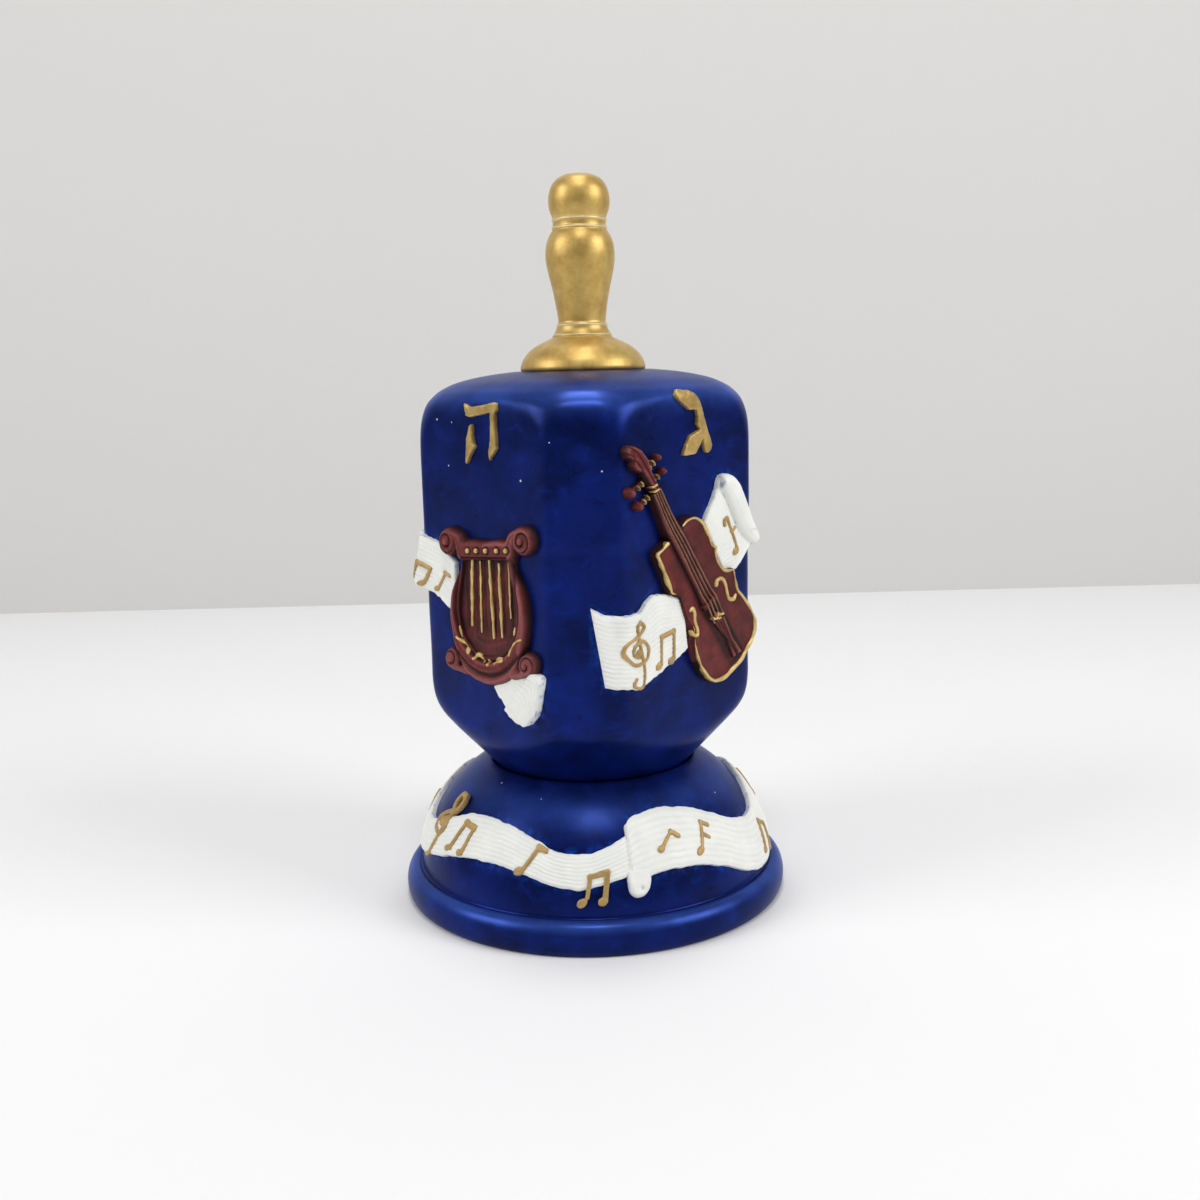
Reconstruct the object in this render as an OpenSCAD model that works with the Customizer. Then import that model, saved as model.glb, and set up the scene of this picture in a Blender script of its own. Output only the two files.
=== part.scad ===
// Four-sided spinning top with a turned handle, standing point down in a domed stand.
// Each side carries a game letter, a musical instrument in relief and staff ribbons with notes.
// The frame has +Z up and its origin at the middle of the stand's foot.

/* [Stand] */
// Outside diameter of the stand's rim
stand_d = 63.4; // [60:0.1:70]
// Height of the rim
rim_h = 5.2; // [4:0.1:7]
// Rounding of the rim's upper edge
rim_round = 1.4; // [0.6:0.1:2]
// Rounding of the rim's lower edge
foot_round = 0.8; // [0.3:0.1:1.2]
// Width of the ledge from the rim's edge to the dome, rounding included
ledge_w = 2.7; // [2.1:0.1:3.5]
// Height of the socket's lip
lip_z = 22.5; // [19:0.1:26]
// Diameter of the socket's lip
lip_d = 34; // [30:0.1:38]
// Radius of the dome's side in section
dome_arc = 22.4; // [18:0.1:30]
// Gap between the socket and the bowl of the top, square to the wall
socket_gap = 0.25; // [0.1:0.01:0.4]
// Gap below the point at rest
tip_gap = 0.15; // [0.05:0.01:0.3]

/* [Top body] */
// Width across two opposite faces
body_w = 44; // [41:0.1:48]
// Width that the chamfer takes off each face's edge
chamfer = 7.5; // [6:0.1:9]
// Diameter that the corners are turned to
turned_d = 53.2; // [52.8:0.1:56]
// Height of the straight sides
side_h = 39.2; // [37:0.1:44]
// Radius of the shoulder in section
shoulder_r = 6; // [4:0.1:7]
// Slope of the crown where it meets the shoulder
crown_slope = 20; // [14:1:24]
// Radius where the bowl turns into the sides
bowl_r = 10.5; // [7:0.1:14]
// Slope of the bowl's cone
bowl_slope = 47.5; // [45:0.5:50]
// Diameter of the flat foot round the tip
foot_d = 6.4; // [5.4:0.1:8]

/* [Tip] */
// Height of the tip below the foot
tip_h = 2; // [1.5:0.1:2.6]
// Diameter of the tip's shank
shank_d = 3; // [2:0.1:4]
// Length of the shank in its bore
shank_l = 11; // [6:0.5:16]
// Running clearance round the shank, on the radius
shank_gap = 0.05; // [0.02:0.01:0.08]
// Gap between the tip's shoulder and the foot
thrust_gap = 0.05; // [0.02:0.01:0.1]

/* [Handle] */
// Diameter of the flange on the crown
flange_d = 19.7; // [16:0.1:22]
// Height of the flange up to the neck
flange_h = 6.4; // [5:0.1:8]
// Diameter of the neck
neck_d = 7; // [6.4:0.1:8]
// Height of the long swelling above the neck
swell_h = 15.5; // [12:0.1:18]
// Diameter of the swelling
swell_d = 10.8; // [9:0.1:13]
// Diameter of the collar below the ball
collar_d = 8.4; // [7.2:0.1:9]
// Height of the collar
collar_h = 1.2; // [0.8:0.1:2]
// Diameter of the ball
ball_d = 9.6; // [8.8:0.1:12]
// Height of the ball
ball_h = 7; // [6:0.1:10]
// Diameter of the tenon in the crown
tenon_d = 6; // [4:0.1:7]
// Length of the tenon
tenon_l = 9; // [5:0.5:14]
// Glue gap round the tenon and at its end
tenon_gap = 0.05; // [0.02:0.01:0.1]

/* [Letters] */
// Height of the letters
letter_h = 8.8; // [6:0.1:9.6]
// Thickness of the letters
letter_t = 0.7; // [0.4:0.1:1.2]
// Height of the letters' feet above the foot of the body
letter_z = 64.4; // [63:0.1:65]
// Middle of the letters to the right of the face's middle
letter_x = 1.2; // [-2:0.1:2]

/* [Ribbons and notes] */
// Width of the ribbons on the body's sides
ribbon_w = 10; // [9:0.1:10.6]
// Thickness of the ribbons
ribbon_t = 0.9; // [0.5:0.1:1.4]
// Height of the notes above their ribbon
note_t = 0.3; // [0.2:0.05:0.5]
// Height of a quaver
note_h = 5; // [4:0.1:5.6]
// Width of the ribbon on the stand, upright
band_h = 6.2; // [4.8:0.1:6.6]
// Height of that ribbon's middle line
band_z = 12.9; // [12.6:0.1:13.4]
// Rise and fall of that ribbon to each side of its middle line
wave_h = 1.9; // [1:0.1:2.2]
// Number of waves round the stand
wave_n = 5; // [3:1:7]

/* [Lyre] */
// Width of the lyre across its scrolls
lyre_w = 21.6; // [20:0.1:23]
// Height of the lyre
lyre_h = 24.8; // [23:0.1:26]
// Middle of the lyre to the right of the face's middle
lyre_x = 2.4; // [1.6:0.1:2.6]
// Bottom of the lyre above the foot of the body
lyre_z = 30.2; // [29.5:0.1:32]
// Thickness of the lyre's frame
lyre_t = 2; // [1.6:0.1:2.6]
// Thickness of the sunken board
board_t = 1; // [0.6:0.1:1.2]
// Height of the strings above the board
lyre_string_t = 0.5; // [0.3:0.1:0.6]

/* [Violin] */
// Length of the violin's body
violin_l = 27; // [25:0.1:28]
// Width of its lower part
violin_w = 14.2; // [13:0.1:15]
// Length of the neck from the body to the nut
neck_l = 8; // [7:0.1:8.6]
// Length of the head from the nut to the end of the scroll
head_l = 8; // [7:0.1:8.6]
// Lean of the violin to the left
violin_lean = 35; // [33:0.5:37]
// Bottom of the violin to the right of the face's middle
violin_x = 9.3; // [9:0.1:9.6]
// Bottom of the violin above the foot of the body
violin_z = 31.2; // [30.6:0.1:32]
// Thickness of the violin's body
violin_t = 2.2; // [1.8:0.1:2.8]
// Thickness of the fingerboard and the tailpiece
board_rise = 0.8; // [0.5:0.1:1.2]
// Thickness of gold trim on the instruments
trim_t = 0.25; // [0.15:0.05:0.4]

/* [Horn and drum] */
// Length of the horn
horn_l = 30; // [27:0.1:31]
// Lean of the horn
horn_lean = 35; // [32:1:38]
// Thickness of the horn's tube
horn_t = 2; // [1.6:0.1:2.6]
// Width of the drum
drum_w = 17; // [15:0.1:18]
// Height of the drum
drum_h = 16; // [14:0.1:17]
// Thickness of the drum's shell
drum_t = 2.2; // [1.8:0.1:2.8]
// Middle of the horn and of the drum above the foot of the body
back_z = 44; // [43:0.1:45]

/* [Hidden] */
$fn = 96;

BLUE = [0.06, 0.10, 0.36];
GOLD = [0.72, 0.60, 0.36];
MAROON = [0.36, 0.13, 0.14];
WHITE = [0.94, 0.94, 0.90];
STEEL = [0.55, 0.55, 0.56];

// A small overlap where a cut runs out of a solid
eps = 0.1;
// Points on each stretch of a curve between two control points
curve_n = 4;

stand_r = stand_d / 2;
dome_r = stand_r - ledge_w;
lip_r = lip_d / 2;
foot_r = foot_d / 2;
shank_r = shank_d / 2;
turned_r = turned_d / 2;
half = body_w / 2;
face_edge = half - chamfer;

// The bowl's cone hangs one gap inside the socket's cone, which starts at the lip
body_z = lip_z + socket_gap / cos(bowl_slope) - (lip_r - foot_r) * tan(bowl_slope);
tip_z = body_z - tip_h;
bowl_turn = 90 - bowl_slope;
bowl_edge_r = turned_r - bowl_r * (1 - cos(bowl_turn));
bowl_edge_z = (bowl_edge_r - foot_r) * tan(bowl_slope);
side_z = bowl_edge_z + bowl_r * sin(bowl_turn);
shoulder_z = side_z + side_h;
shoulder_turn = 90 - crown_slope;
crown_edge_r = turned_r - shoulder_r * (1 - cos(shoulder_turn));
crown_edge_z = shoulder_z + shoulder_r * sin(shoulder_turn);
// The crown's arc flattens to this slope at the flange
seat_slope = 5;
flange_r = flange_d / 2;
crown_arc = (crown_edge_r - flange_r) / (sin(crown_slope) - sin(seat_slope));
crown_z = crown_edge_z + crown_arc * (cos(seat_slope) - cos(crown_slope));

// Curves and outlines
function arc(c, r, a0, a1, n = 12) =
  [for (i = [0 : n]) let (a = a0 + (a1 - a0) * i / n) c + r * [cos(a), sin(a)]];

function spline_point(a, b, c, d, t) =
  (2 * b + (c - a) * t + (2 * a - 5 * b + 4 * c - d) * t * t + (3 * b - a - 3 * c + d) * t * t * t) / 2;

function closed_curve(p, n = curve_n) = let (m = len(p))
  [for (i = [0 : m - 1]) for (k = [0 : n - 1])
    spline_point(p[(i + m - 1) % m], p[i], p[(i + 1) % m], p[(i + 2) % m], k / n)];

function open_curve(p, n = curve_n) = let (m = len(p) - 1)
  [for (i = [0 : m - 1]) for (k = [0 : i == m - 1 ? n : n - 1])
    spline_point(p[max(i - 1, 0)], p[i], p[i + 1], p[min(i + 2, m)], k / n)];

function sized(p, s) = [for (q = p) [q[0] * s[0], q[1] * s[1]]];
function mirrored(p) = [for (i = [len(p) - 1 : -1 : 0]) if (p[i][0] > 0) [-p[i][0], p[i][1]]];
function both_sides(p) = concat(p, mirrored(p));
function unit(v) = v / norm(v);
function side_of(p, i) = let (d = unit(p[min(i + 1, len(p) - 1)] - p[max(i - 1, 0)])) [-d[1], d[0]];

// A stroke of even width along an open path
function stroke(p, w) = concat(
  [for (i = [0 : len(p) - 1]) p[i] + side_of(p, i) * w / 2],
  [for (i = [len(p) - 1 : -1 : 0]) p[i] - side_of(p, i) * w / 2]);

function oval(rx, ry, turn, n = 20) =
  [for (i = [0 : n - 1]) let (a = 360 * i / n, x = rx * cos(a), y = ry * sin(a))
    [x * cos(turn) - y * sin(turn), x * sin(turn) + y * cos(turn)]];

// An outline always drawn counter-clockwise, so that outlines join where they overlap
function turning(p) = [for (i = [0 : len(p) - 1]) let (q = p[(i + 1) % len(p)]) p[i][0] * q[1] - p[i][1] * q[0]]
  * [for (q = p) 1];
function reversed(p) = [for (i = [len(p) - 1 : -1 : 0]) p[i]];
module shape(p) { polygon(turning(p) < 0 ? reversed(p) : p); }

module line(a, b, w) { shape(stroke([a, b], w)); }

// The body's plan, grown evenly by g
module octagon(g = 0) {
  h = half + g;
  e = face_edge + g * (sqrt(2) - 1);
  polygon([[h, e], [e, h], [-e, h], [-h, e], [-h, -e], [-e, -h], [e, -h], [h, -e]]);
}

// Side k of the body, drawn with x to the right and y up from the foot, z out of the face
module on_face(k) {
  translate([0, 0, body_z]) rotate([0, 0, 90 * k]) translate([0, -half, 0]) rotate([90, 0, 0]) children();
}

// Relief on one flat face, from height a to height b
module relief(k, a, b) {
  on_face(k) translate([0, 0, a]) linear_extrude(b - a) children();
}

// Relief that follows the faces and chamfers round side k, from height a to height b
module wrapped(k, a, b) {
  intersection() {
    translate([0, 0, body_z]) linear_extrude(shoulder_z) difference() {
      octagon(b);
      octagon(a);
    }
    on_face(k) translate([0, 0, -chamfer - eps]) linear_extrude(chamfer + b + 2 * eps) children();
  }
}

// Stand
dome_foot = [dome_r, rim_h];
dome_top = [lip_r, lip_z];
dome_chord = norm(dome_top - dome_foot);
dome_dir = (dome_top - dome_foot) / dome_chord;
dome_c = (dome_foot + dome_top) / 2
  - sqrt(dome_arc * dome_arc - dome_chord * dome_chord / 4) * [dome_dir[1], -dome_dir[0]];
function dome_angle(p) = atan2(p[1] - dome_c[1], p[0] - dome_c[0]);

module dome_shell(a, b) {
  a0 = dome_angle(dome_foot);
  a1 = dome_angle(dome_top);
  rotate_extrude() polygon(concat(
    arc(dome_c, dome_arc + b, a0, a1),
    arc(dome_c, dome_arc + a, a1, a0)));
}

// The socket's cone ends in a small flat under the tip
socket_floor_z = tip_z - tip_gap;
socket_floor_r = lip_r - (lip_z - socket_floor_z) / tan(bowl_slope);

module stand() {
  color(BLUE) rotate_extrude() polygon(concat(
    [[0, 0]],
    arc([stand_r - foot_round, foot_round], foot_round, -90, 0, 6),
    arc([stand_r - rim_round, rim_h - rim_round], rim_round, 0, 90, 8),
    arc(dome_c, dome_arc, dome_angle(dome_foot), dome_angle(dome_top)),
    [[max(socket_floor_r, foot_r / 2), socket_floor_z], [0, socket_floor_z]]));
}

// The ribbon's wave: height of its middle at an angle round the stand
wave_phase = -14;
function wave(a) = band_z + wave_h * cos(wave_n * (a - wave_phase));

module wave_band(h) {
  n = 90;
  r0 = lip_r / 2;
  r1 = stand_r + eps;
  ring = [for (i = [0 : n - 1]) let (a = 360 * i / n, z = wave(a))
    each [[r0 * cos(a), r0 * sin(a), z - h / 2], [r1 * cos(a), r1 * sin(a), z - h / 2],
      [r1 * cos(a), r1 * sin(a), z + h / 2], [r0 * cos(a), r0 * sin(a), z + h / 2]]];
  skin = [for (i = [0 : n - 1]) let (j = (i + 1) % n) for (k = [0 : 3]) let (m = (k + 1) % 4)
    each [[4 * i + k, 4 * i + m, 4 * j + m], [4 * i + k, 4 * j + m, 4 * j + k]]];
  polyhedron(ring, skin);
}

module stand_ribbon() {
  color(WHITE) intersection() {
    dome_shell(0, ribbon_t);
    wave_band(band_h);
  }
}

// Notes stand on the ribbon at these angles round the stand, as kind and angle
stand_note_list = [["clef", -109], ["pair", -95], ["quaver", -65], ["pair", -45], ["quaver", -19],
  ["double", -6], ["quaver", 29], ["clef", 60], ["pair", 80], ["double", 106], ["quaver", 132],
  ["clef", 166], ["pair", 186], ["quaver", 214]];

module stand_notes() {
  color(GOLD) intersection() {
    dome_shell(ribbon_t, ribbon_t + note_t);
    for (n = stand_note_list)
      rotate([0, 0, n[1]]) translate([lip_r, 0, wave(n[1]) - note_h * 0.38])
        rotate([90, 0, 90]) linear_extrude(stand_r) note(n[0]);
  }
}

// Musical notes, drawn from the lowest point up
module note_head() { polygon(oval(note_h * 0.17, note_h * 0.11, 25)); }

module quaver() {
  stem_x = note_h * 0.13;
  translate([0, note_h * 0.12]) note_head();
  line([stem_x, note_h * 0.12], [stem_x, note_h * 0.8], note_h * 0.08);
  shape(stroke(open_curve([[stem_x, note_h * 0.78], [note_h * 0.25, note_h * 0.66],
    [note_h * 0.33, note_h * 0.52]]), note_h * 0.1));
}

module double_quaver() {
  quaver();
  shape(stroke(open_curve([[note_h * 0.13, note_h * 0.62], [note_h * 0.25, note_h * 0.5],
    [note_h * 0.33, note_h * 0.38]]), note_h * 0.08));
}

module note_pair() {
  gap = note_h * 0.42;
  for (x = [-gap / 2, gap / 2]) translate([x, note_h * 0.12]) {
    note_head();
    line([note_h * 0.13, 0], [note_h * 0.13, note_h * 0.64], note_h * 0.08);
  }
  translate([note_h * 0.13, note_h * 0.72]) line([-gap / 2 - note_h * 0.04, 0], [gap / 2 + note_h * 0.04, 0],
    note_h * 0.14);
}

module clef() {
  line([note_h * 0.04, note_h * 0.06], [-note_h * 0.02, note_h * 0.84], note_h * 0.07);
  translate([0, note_h * 0.3]) difference() {
    circle(note_h * 0.24);
    circle(note_h * 0.16);
  }
  translate([0, note_h * 0.72]) difference() {
    polygon(oval(note_h * 0.2, note_h * 0.12, 60));
    polygon(oval(note_h * 0.13, note_h * 0.06, 60));
  }
  translate([-note_h * 0.04, note_h * 0.04]) circle(note_h * 0.08);
}

module note(kind) {
  if (kind == "quaver") quaver();
  if (kind == "double") double_quaver();
  if (kind == "pair") note_pair();
  if (kind == "clef") clef();
}

// Tip
tip_point_r = 0.8;

module spinning_tip() {
  head_h = tip_h - thrust_gap;
  cone_r = tip_point_r * sin(bowl_slope);
  cone_z = tip_point_r * (1 - cos(bowl_slope));
  top_r = min(cone_r + (head_h - cone_z) / tan(bowl_slope), foot_r);
  color(STEEL) translate([0, 0, tip_z]) rotate_extrude() polygon(concat(
    arc([0, tip_point_r], tip_point_r, -90, -90 + bowl_slope, 6),
    [[top_r, head_h], [shank_r, head_h], [shank_r, head_h + shank_l], [0, head_h + shank_l]]));
}

// Body
module turned_form() {
  rotate_extrude() polygon(concat(
    [[0, 0], [foot_r, 0]],
    arc([turned_r - bowl_r, side_z], bowl_r, -bowl_turn, 0),
    arc([turned_r - shoulder_r, shoulder_z], shoulder_r, 0, shoulder_turn),
    arc([flange_r - crown_arc * sin(seat_slope), crown_z - crown_arc * cos(seat_slope)],
      crown_arc, shoulder_turn, 90 - seat_slope, 8),
    [[0, crown_z]]));
}

module dreidel_body() {
  color(BLUE) translate([0, 0, body_z]) difference() {
    intersection() {
      turned_form();
      translate([0, 0, -eps]) linear_extrude(crown_z + 2 * eps) octagon();
    }
    translate([0, 0, -eps]) cylinder(h = shank_l + 2 * eps, r = shank_r + shank_gap);
    translate([0, 0, crown_z - tenon_l - tenon_gap])
      cylinder(h = tenon_l + tenon_gap + eps, d = tenon_d + 2 * tenon_gap);
  }
}

// Handle
module handle() {
  neck_r = neck_d / 2;
  swell_r = swell_d / 2;
  collar_r = collar_d / 2;
  ball_r = ball_d / 2;
  swell_z = flange_h;
  collar_z = swell_z + swell_h;
  // The ball is an oval in section that starts where it meets the collar
  ball_start = acos(collar_r * 0.9 / ball_r);
  ball_up = ball_h / (1 + sin(ball_start));
  ball_z = collar_z + collar_h + ball_up * sin(ball_start);
  flange = [[flange_r, 0.5], [flange_r * 0.93, flange_h * 0.25], [flange_r * 0.78, flange_h * 0.5],
    [neck_r + 0.9, flange_h * 0.78], [neck_r + 0.4, flange_h * 0.9]];
  swell = [[neck_r, swell_z + 0.4], [neck_r + (swell_r - neck_r) * 0.45, swell_z + swell_h * 0.3],
    [swell_r, swell_z + swell_h * 0.62], [swell_r * 0.93, swell_z + swell_h * 0.8],
    [collar_r * 0.9, swell_z + swell_h]];
  color(GOLD) translate([0, 0, body_z + crown_z]) rotate_extrude() polygon(concat(
    [[0, -tenon_l], [tenon_d / 2, -tenon_l], [tenon_d / 2, 0], [flange_r, 0]],
    open_curve(flange),
    open_curve(swell),
    arc([collar_r - collar_h / 2, collar_z + collar_h / 2], collar_h / 2, -60, 60, 6),
    [for (i = [0 : 14]) let (a = -ball_start + (90 + ball_start) * i / 14)
      [ball_r * cos(a), ball_z + ball_up * sin(a)]]));
}

// Letters, on a grid of one unit in height
module letter(k, p) {
  color(GOLD) relief(k, 0, letter_t) translate([letter_x, letter_z])
    for (q = p) shape(sized(q, [letter_h, letter_h]));
}

module letter_he() {
  letter(0, [
    [[-0.38, 0.82], [0.4, 0.84], [0.44, 1], [-0.3, 0.96], [-0.4, 1]],
    [[0.26, 0.86], [0.4, 0.86], [0.42, 0.12], [0.24, 0]],
    [[-0.3, 0.66], [-0.16, 0.66], [-0.14, 0.3], [-0.34, 0]]]);
}

module letter_gimel() {
  letter(1, [
    [[-0.3, 0.98], [-0.24, 0.84], [0.12, 0.8], [0.22, 0.84], [0.16, 0.98]],
    [[0.12, 0.86], [0.2, 0.92], [0.42, 0.1], [0.34, 0], [0.24, 0.06]],
    [[0.24, 0.38], [0.3, 0.24], [0.04, 0], [-0.22, 0], [-0.06, 0.26]]]);
}

module letter_nun() {
  letter(2, [
    [[-0.16, 0.86], [0.18, 0.84], [0.26, 0.96], [-0.1, 1]],
    [[0.08, 0.9], [0.24, 0.92], [0.22, 0.1], [0.06, 0.1]],
    [[-0.28, 0.02], [0.2, 0], [0.22, 0.16], [-0.24, 0.16]]]);
}

module letter_shin() {
  letter(3, [
    [[-0.46, 0.96], [-0.3, 1], [-0.16, 0.16], [-0.3, 0.06]],
    [[-0.1, 0.92], [0.06, 0.96], [-0.02, 0.16], [-0.16, 0.16]],
    [[0.3, 0.96], [0.46, 1], [0.36, 0.14], [0.22, 0.16]],
    [[-0.3, 0.06], [0.3, 0], [0.38, 0.18], [-0.24, 0.22]]]);
}

// Lyre, drawn about its middle line with its lowest point at zero
lyre_size = [lyre_w / 2, lyre_h];
lyre_half_out = [[0, 0.02], [0.26, 0.04], [0.52, 0.12], [0.72, 0.24], [0.83, 0.37], [0.84, 0.5],
  [0.74, 0.62], [0.62, 0.72], [0.56, 0.8], [0.56, 0.89]];
lyre_half_in = [[0, 0.19], [0.26, 0.21], [0.48, 0.3], [0.6, 0.41], [0.61, 0.52], [0.53, 0.64], [0.45, 0.765]];
lyre_out = closed_curve(sized(both_sides(lyre_half_out), lyre_size));
lyre_in = closed_curve(sized(both_sides(lyre_half_in), lyre_size));
scroll_r = lyre_w * 0.1;
scroll_foot_r = lyre_w * 0.09;

module at_lyre() { translate([lyre_x, lyre_z]) children(); }

module lyre_outline() {
  polygon(lyre_out);
  for (s = [-1, 1]) {
    translate([s * (lyre_w / 2 - scroll_r), lyre_h - scroll_r]) circle(scroll_r);
    shape([for (q = [[0.3, 0.83], [0.36, 0.92], [0.6, 0.985], [0.8, 1], [0.8, 0.92], [0.56, 0.8]])
      [s * q[0] * lyre_w / 2, q[1] * lyre_h]]);
    translate([s * lyre_w * 0.4, lyre_h * 0.145]) circle(scroll_foot_r);
    shape([for (q = [[0.3, 0.03], [0.8, 0.06], [0.8, 0.23], [0.6, 0.26]])
      [s * q[0] * lyre_w / 2, q[1] * lyre_h]]);
  }
}

module lyre_frame() {
  color(MAROON) relief(0, 0, lyre_t) at_lyre() difference() {
    lyre_outline();
    polygon(lyre_in);
  }
}

module lyre_board() { color(MAROON) relief(0, 0, board_t) at_lyre() polygon(lyre_in); }

string_pitch = 0.17;
string_count = 5;
function string_x(i) = (i - (string_count - 1) / 2) * string_pitch * lyre_w / 2;

module lyre_strings() {
  foot = [0.37, 0.31, 0.28, 0.31, 0.37];
  color(GOLD) relief(0, board_t, board_t + lyre_string_t) at_lyre() for (i = [0 : string_count - 1])
    line([string_x(i), foot[i] * lyre_h], [string_x(i), 0.75 * lyre_h], lyre_w * 0.026);
}

module lyre_pins() {
  color(GOLD) relief(0, lyre_t, lyre_t + trim_t) at_lyre() for (i = [0 : string_count - 1])
    translate([string_x(i), 0.82 * lyre_h]) circle(lyre_w * 0.02);
}

// Gold leaf strokes along the lower part of the frame
module lyre_leaves() {
  color(GOLD) relief(0, lyre_t, lyre_t + trim_t) at_lyre() for (a = [-58, -34, -11, 11, 34, 58])
    polygon([for (q = oval(lyre_w * 0.052, lyre_w * 0.017, a * 0.8))
      [q[0] + sin(a) * lyre_w * 0.33, q[1] + lyre_h * (0.47 - 0.345 * cos(a))]]);
}

// A ribbon's outline about an anchor, drawn for a ribbon ten units wide
ribbon_unit = ribbon_w / 10;
function about(anchor, p) = [for (q = p) anchor + q * ribbon_unit];
module ribbon_shape(anchor, p) { polygon(closed_curve(about(anchor, p))); }
module on_ribbon(anchor, p) { translate(anchor + p * ribbon_unit) children(); }

// Ribbon that comes round the left edge and runs under the lyre
lyre_side_at = [-face_edge, lyre_z + lyre_h * 0.58];
lyre_side = [[-2.2, -0.3], [-2.6, 3.9], [-0.4, 7.5], [4.5, 6.7], [11.5, 3.9], [12.5, -0.1], [9.1, -4.1],
  [2.9, -1.5]];

module lyre_ribbon_side() {
  color(WHITE) difference() {
    wrapped(0, 0, ribbon_t) ribbon_shape(lyre_side_at, lyre_side);
    relief(0, -eps, lyre_t + eps) at_lyre() lyre_outline();
  }
}

// Curled end of the ribbon below the lyre's right foot
lyre_end_at = [face_edge, lyre_z];
lyre_end = [[-12.1, -0.2], [-7.9, 3], [-3.7, 3.6], [-0.4, 3.4], [0, 1.6], [-1.5, -1.8], [-3.1, -4],
  [-6.1, -4.6], [-8.9, -3.2]];

module lyre_ribbon_end() {
  color(WHITE) relief(0, 0, ribbon_t) difference() {
    ribbon_shape(lyre_end_at, lyre_end);
    at_lyre() lyre_outline();
  }
}

// The single note keeps clear of the lyre's widest part
lyre_left = lyre_x - lyre_w * 0.42;

module lyre_notes() {
  color(GOLD) wrapped(0, ribbon_t, ribbon_t + note_t) {
    on_ribbon(lyre_side_at, [-0.8, 0.8]) rotate(14) note_pair();
    translate([lyre_left - note_h * 0.72, lyre_side_at[1] - note_h * 0.04]) rotate(-28) quaver();
  }
}

// Violin, drawn along its own axis from the lower end up
violin_size = [violin_w / 2, violin_l];
violin_right = [[0, 0], [0.5, 0.01], [0.86, 0.07], [1, 0.19], [0.95, 0.32], [1.02, 0.44], [0.8, 0.53],
  [0.8, 0.61], [0.88, 0.7], [0.93, 0.83], [0.78, 0.95], [0.4, 1]];
violin_left = [[-0.28, 1], [-0.6, 0.97], [-0.7, 0.87], [-0.7, 0.74], [-0.68, 0.66], [-0.8, 0.56],
  [-0.88, 0.46], [-0.97, 0.34], [-1, 0.18], [-0.82, 0.05], [-0.44, 0]];
nut_s = violin_l + neck_l;
board_s = violin_l * 0.44;
bridge_s = violin_l * 0.38;
board_w = 2.8;
neck_w = 2.2;
neck_t = violin_t + board_rise;

function violin_curve(k = 1) = [for (q = closed_curve(sized(concat(violin_right, violin_left), violin_size)))
  [q[0] * k, (q[1] - violin_l / 2) * k + violin_l / 2]];

module at_violin() { translate([violin_x, violin_z]) rotate(violin_lean) children(); }
module violin_relief(a, b) { relief(1, a, b) at_violin() children(); }

module violin_body() { color(MAROON) violin_relief(0, violin_t) polygon(violin_curve()); }

module violin_binding() {
  inset = 0.92;
  color(GOLD) violin_relief(violin_t, violin_t + trim_t) difference() {
    polygon(violin_curve());
    polygon(violin_curve(inset));
    violin_board_plan();
  }
}

// Plan of the fingerboard, from its free end to the nut
module violin_board_plan() {
  polygon([[-board_w / 2, board_s], [board_w / 2, board_s], [neck_w / 2, nut_s], [-neck_w / 2, nut_s]]);
}

module violin_neck() {
  color(MAROON) {
    violin_relief(violin_t, neck_t) violin_board_plan();
    violin_relief(0, violin_t) difference() {
      violin_board_plan();
      polygon(violin_curve());
    }
  }
}

module violin_head_plan() {
  eye_r = head_l * 0.2;
  polygon([[-neck_w / 2, nut_s], [neck_w / 2, nut_s], [neck_w * 0.62, nut_s + head_l * 0.5],
    [neck_w * 0.45, nut_s + head_l - eye_r], [-neck_w * 0.45, nut_s + head_l - eye_r],
    [-neck_w * 0.62, nut_s + head_l * 0.5]]);
  translate([0, nut_s + head_l - eye_r]) circle(eye_r);
}

module violin_head() { color(MAROON) violin_relief(0, neck_t) violin_head_plan(); }

// Two pegs to a side: height above the nut and side
peg_list = [[0.1, -1], [0.38, -1], [0.18, 1], [0.46, 1]];
peg_out = 3.4;
peg_size = [1.1, 0.8];
peg_shaft_w = 0.6;
peg_shaft_t = 0.6;

module violin_pegs() {
  color(MAROON) violin_relief(0, violin_t) for (p = peg_list)
    translate([p[1] * peg_out, nut_s + p[0] * head_l]) polygon(oval(peg_size[0], peg_size[1], 0));
}

module violin_peg_shafts() {
  color(GOLD) violin_relief(violin_t - peg_shaft_t, violin_t) difference() {
    for (p = peg_list) translate([0, nut_s + p[0] * head_l])
      line([0, 0], [p[1] * peg_out, 0], peg_shaft_w);
    violin_head_plan();
    for (p = peg_list) translate([p[1] * peg_out, nut_s + p[0] * head_l])
      polygon(oval(peg_size[0], peg_size[1], 0));
  }
}

nut_w = 0.8;

module violin_nut() {
  color(GOLD) violin_relief(neck_t, neck_t + trim_t) translate([0, nut_s - nut_w / 2])
    square([neck_w, nut_w], center = true);
}

bridge_w = 4;
bridge_l = 0.7;

module violin_bridge() {
  color(GOLD) violin_relief(violin_t, neck_t + trim_t) translate([0, bridge_s])
    square([bridge_w, bridge_l], center = true);
}

tail_w = 3;
tail_end_s = violin_l * 0.06;

module violin_tailpiece() {
  color(MAROON) violin_relief(violin_t, neck_t)
    shape([[-tail_w / 2, bridge_s - bridge_l / 2], [-tail_w * 0.3, tail_end_s], [tail_w * 0.3, tail_end_s],
      [tail_w / 2, bridge_s - bridge_l / 2]]);
}

violin_string_w = 0.18;

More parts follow.
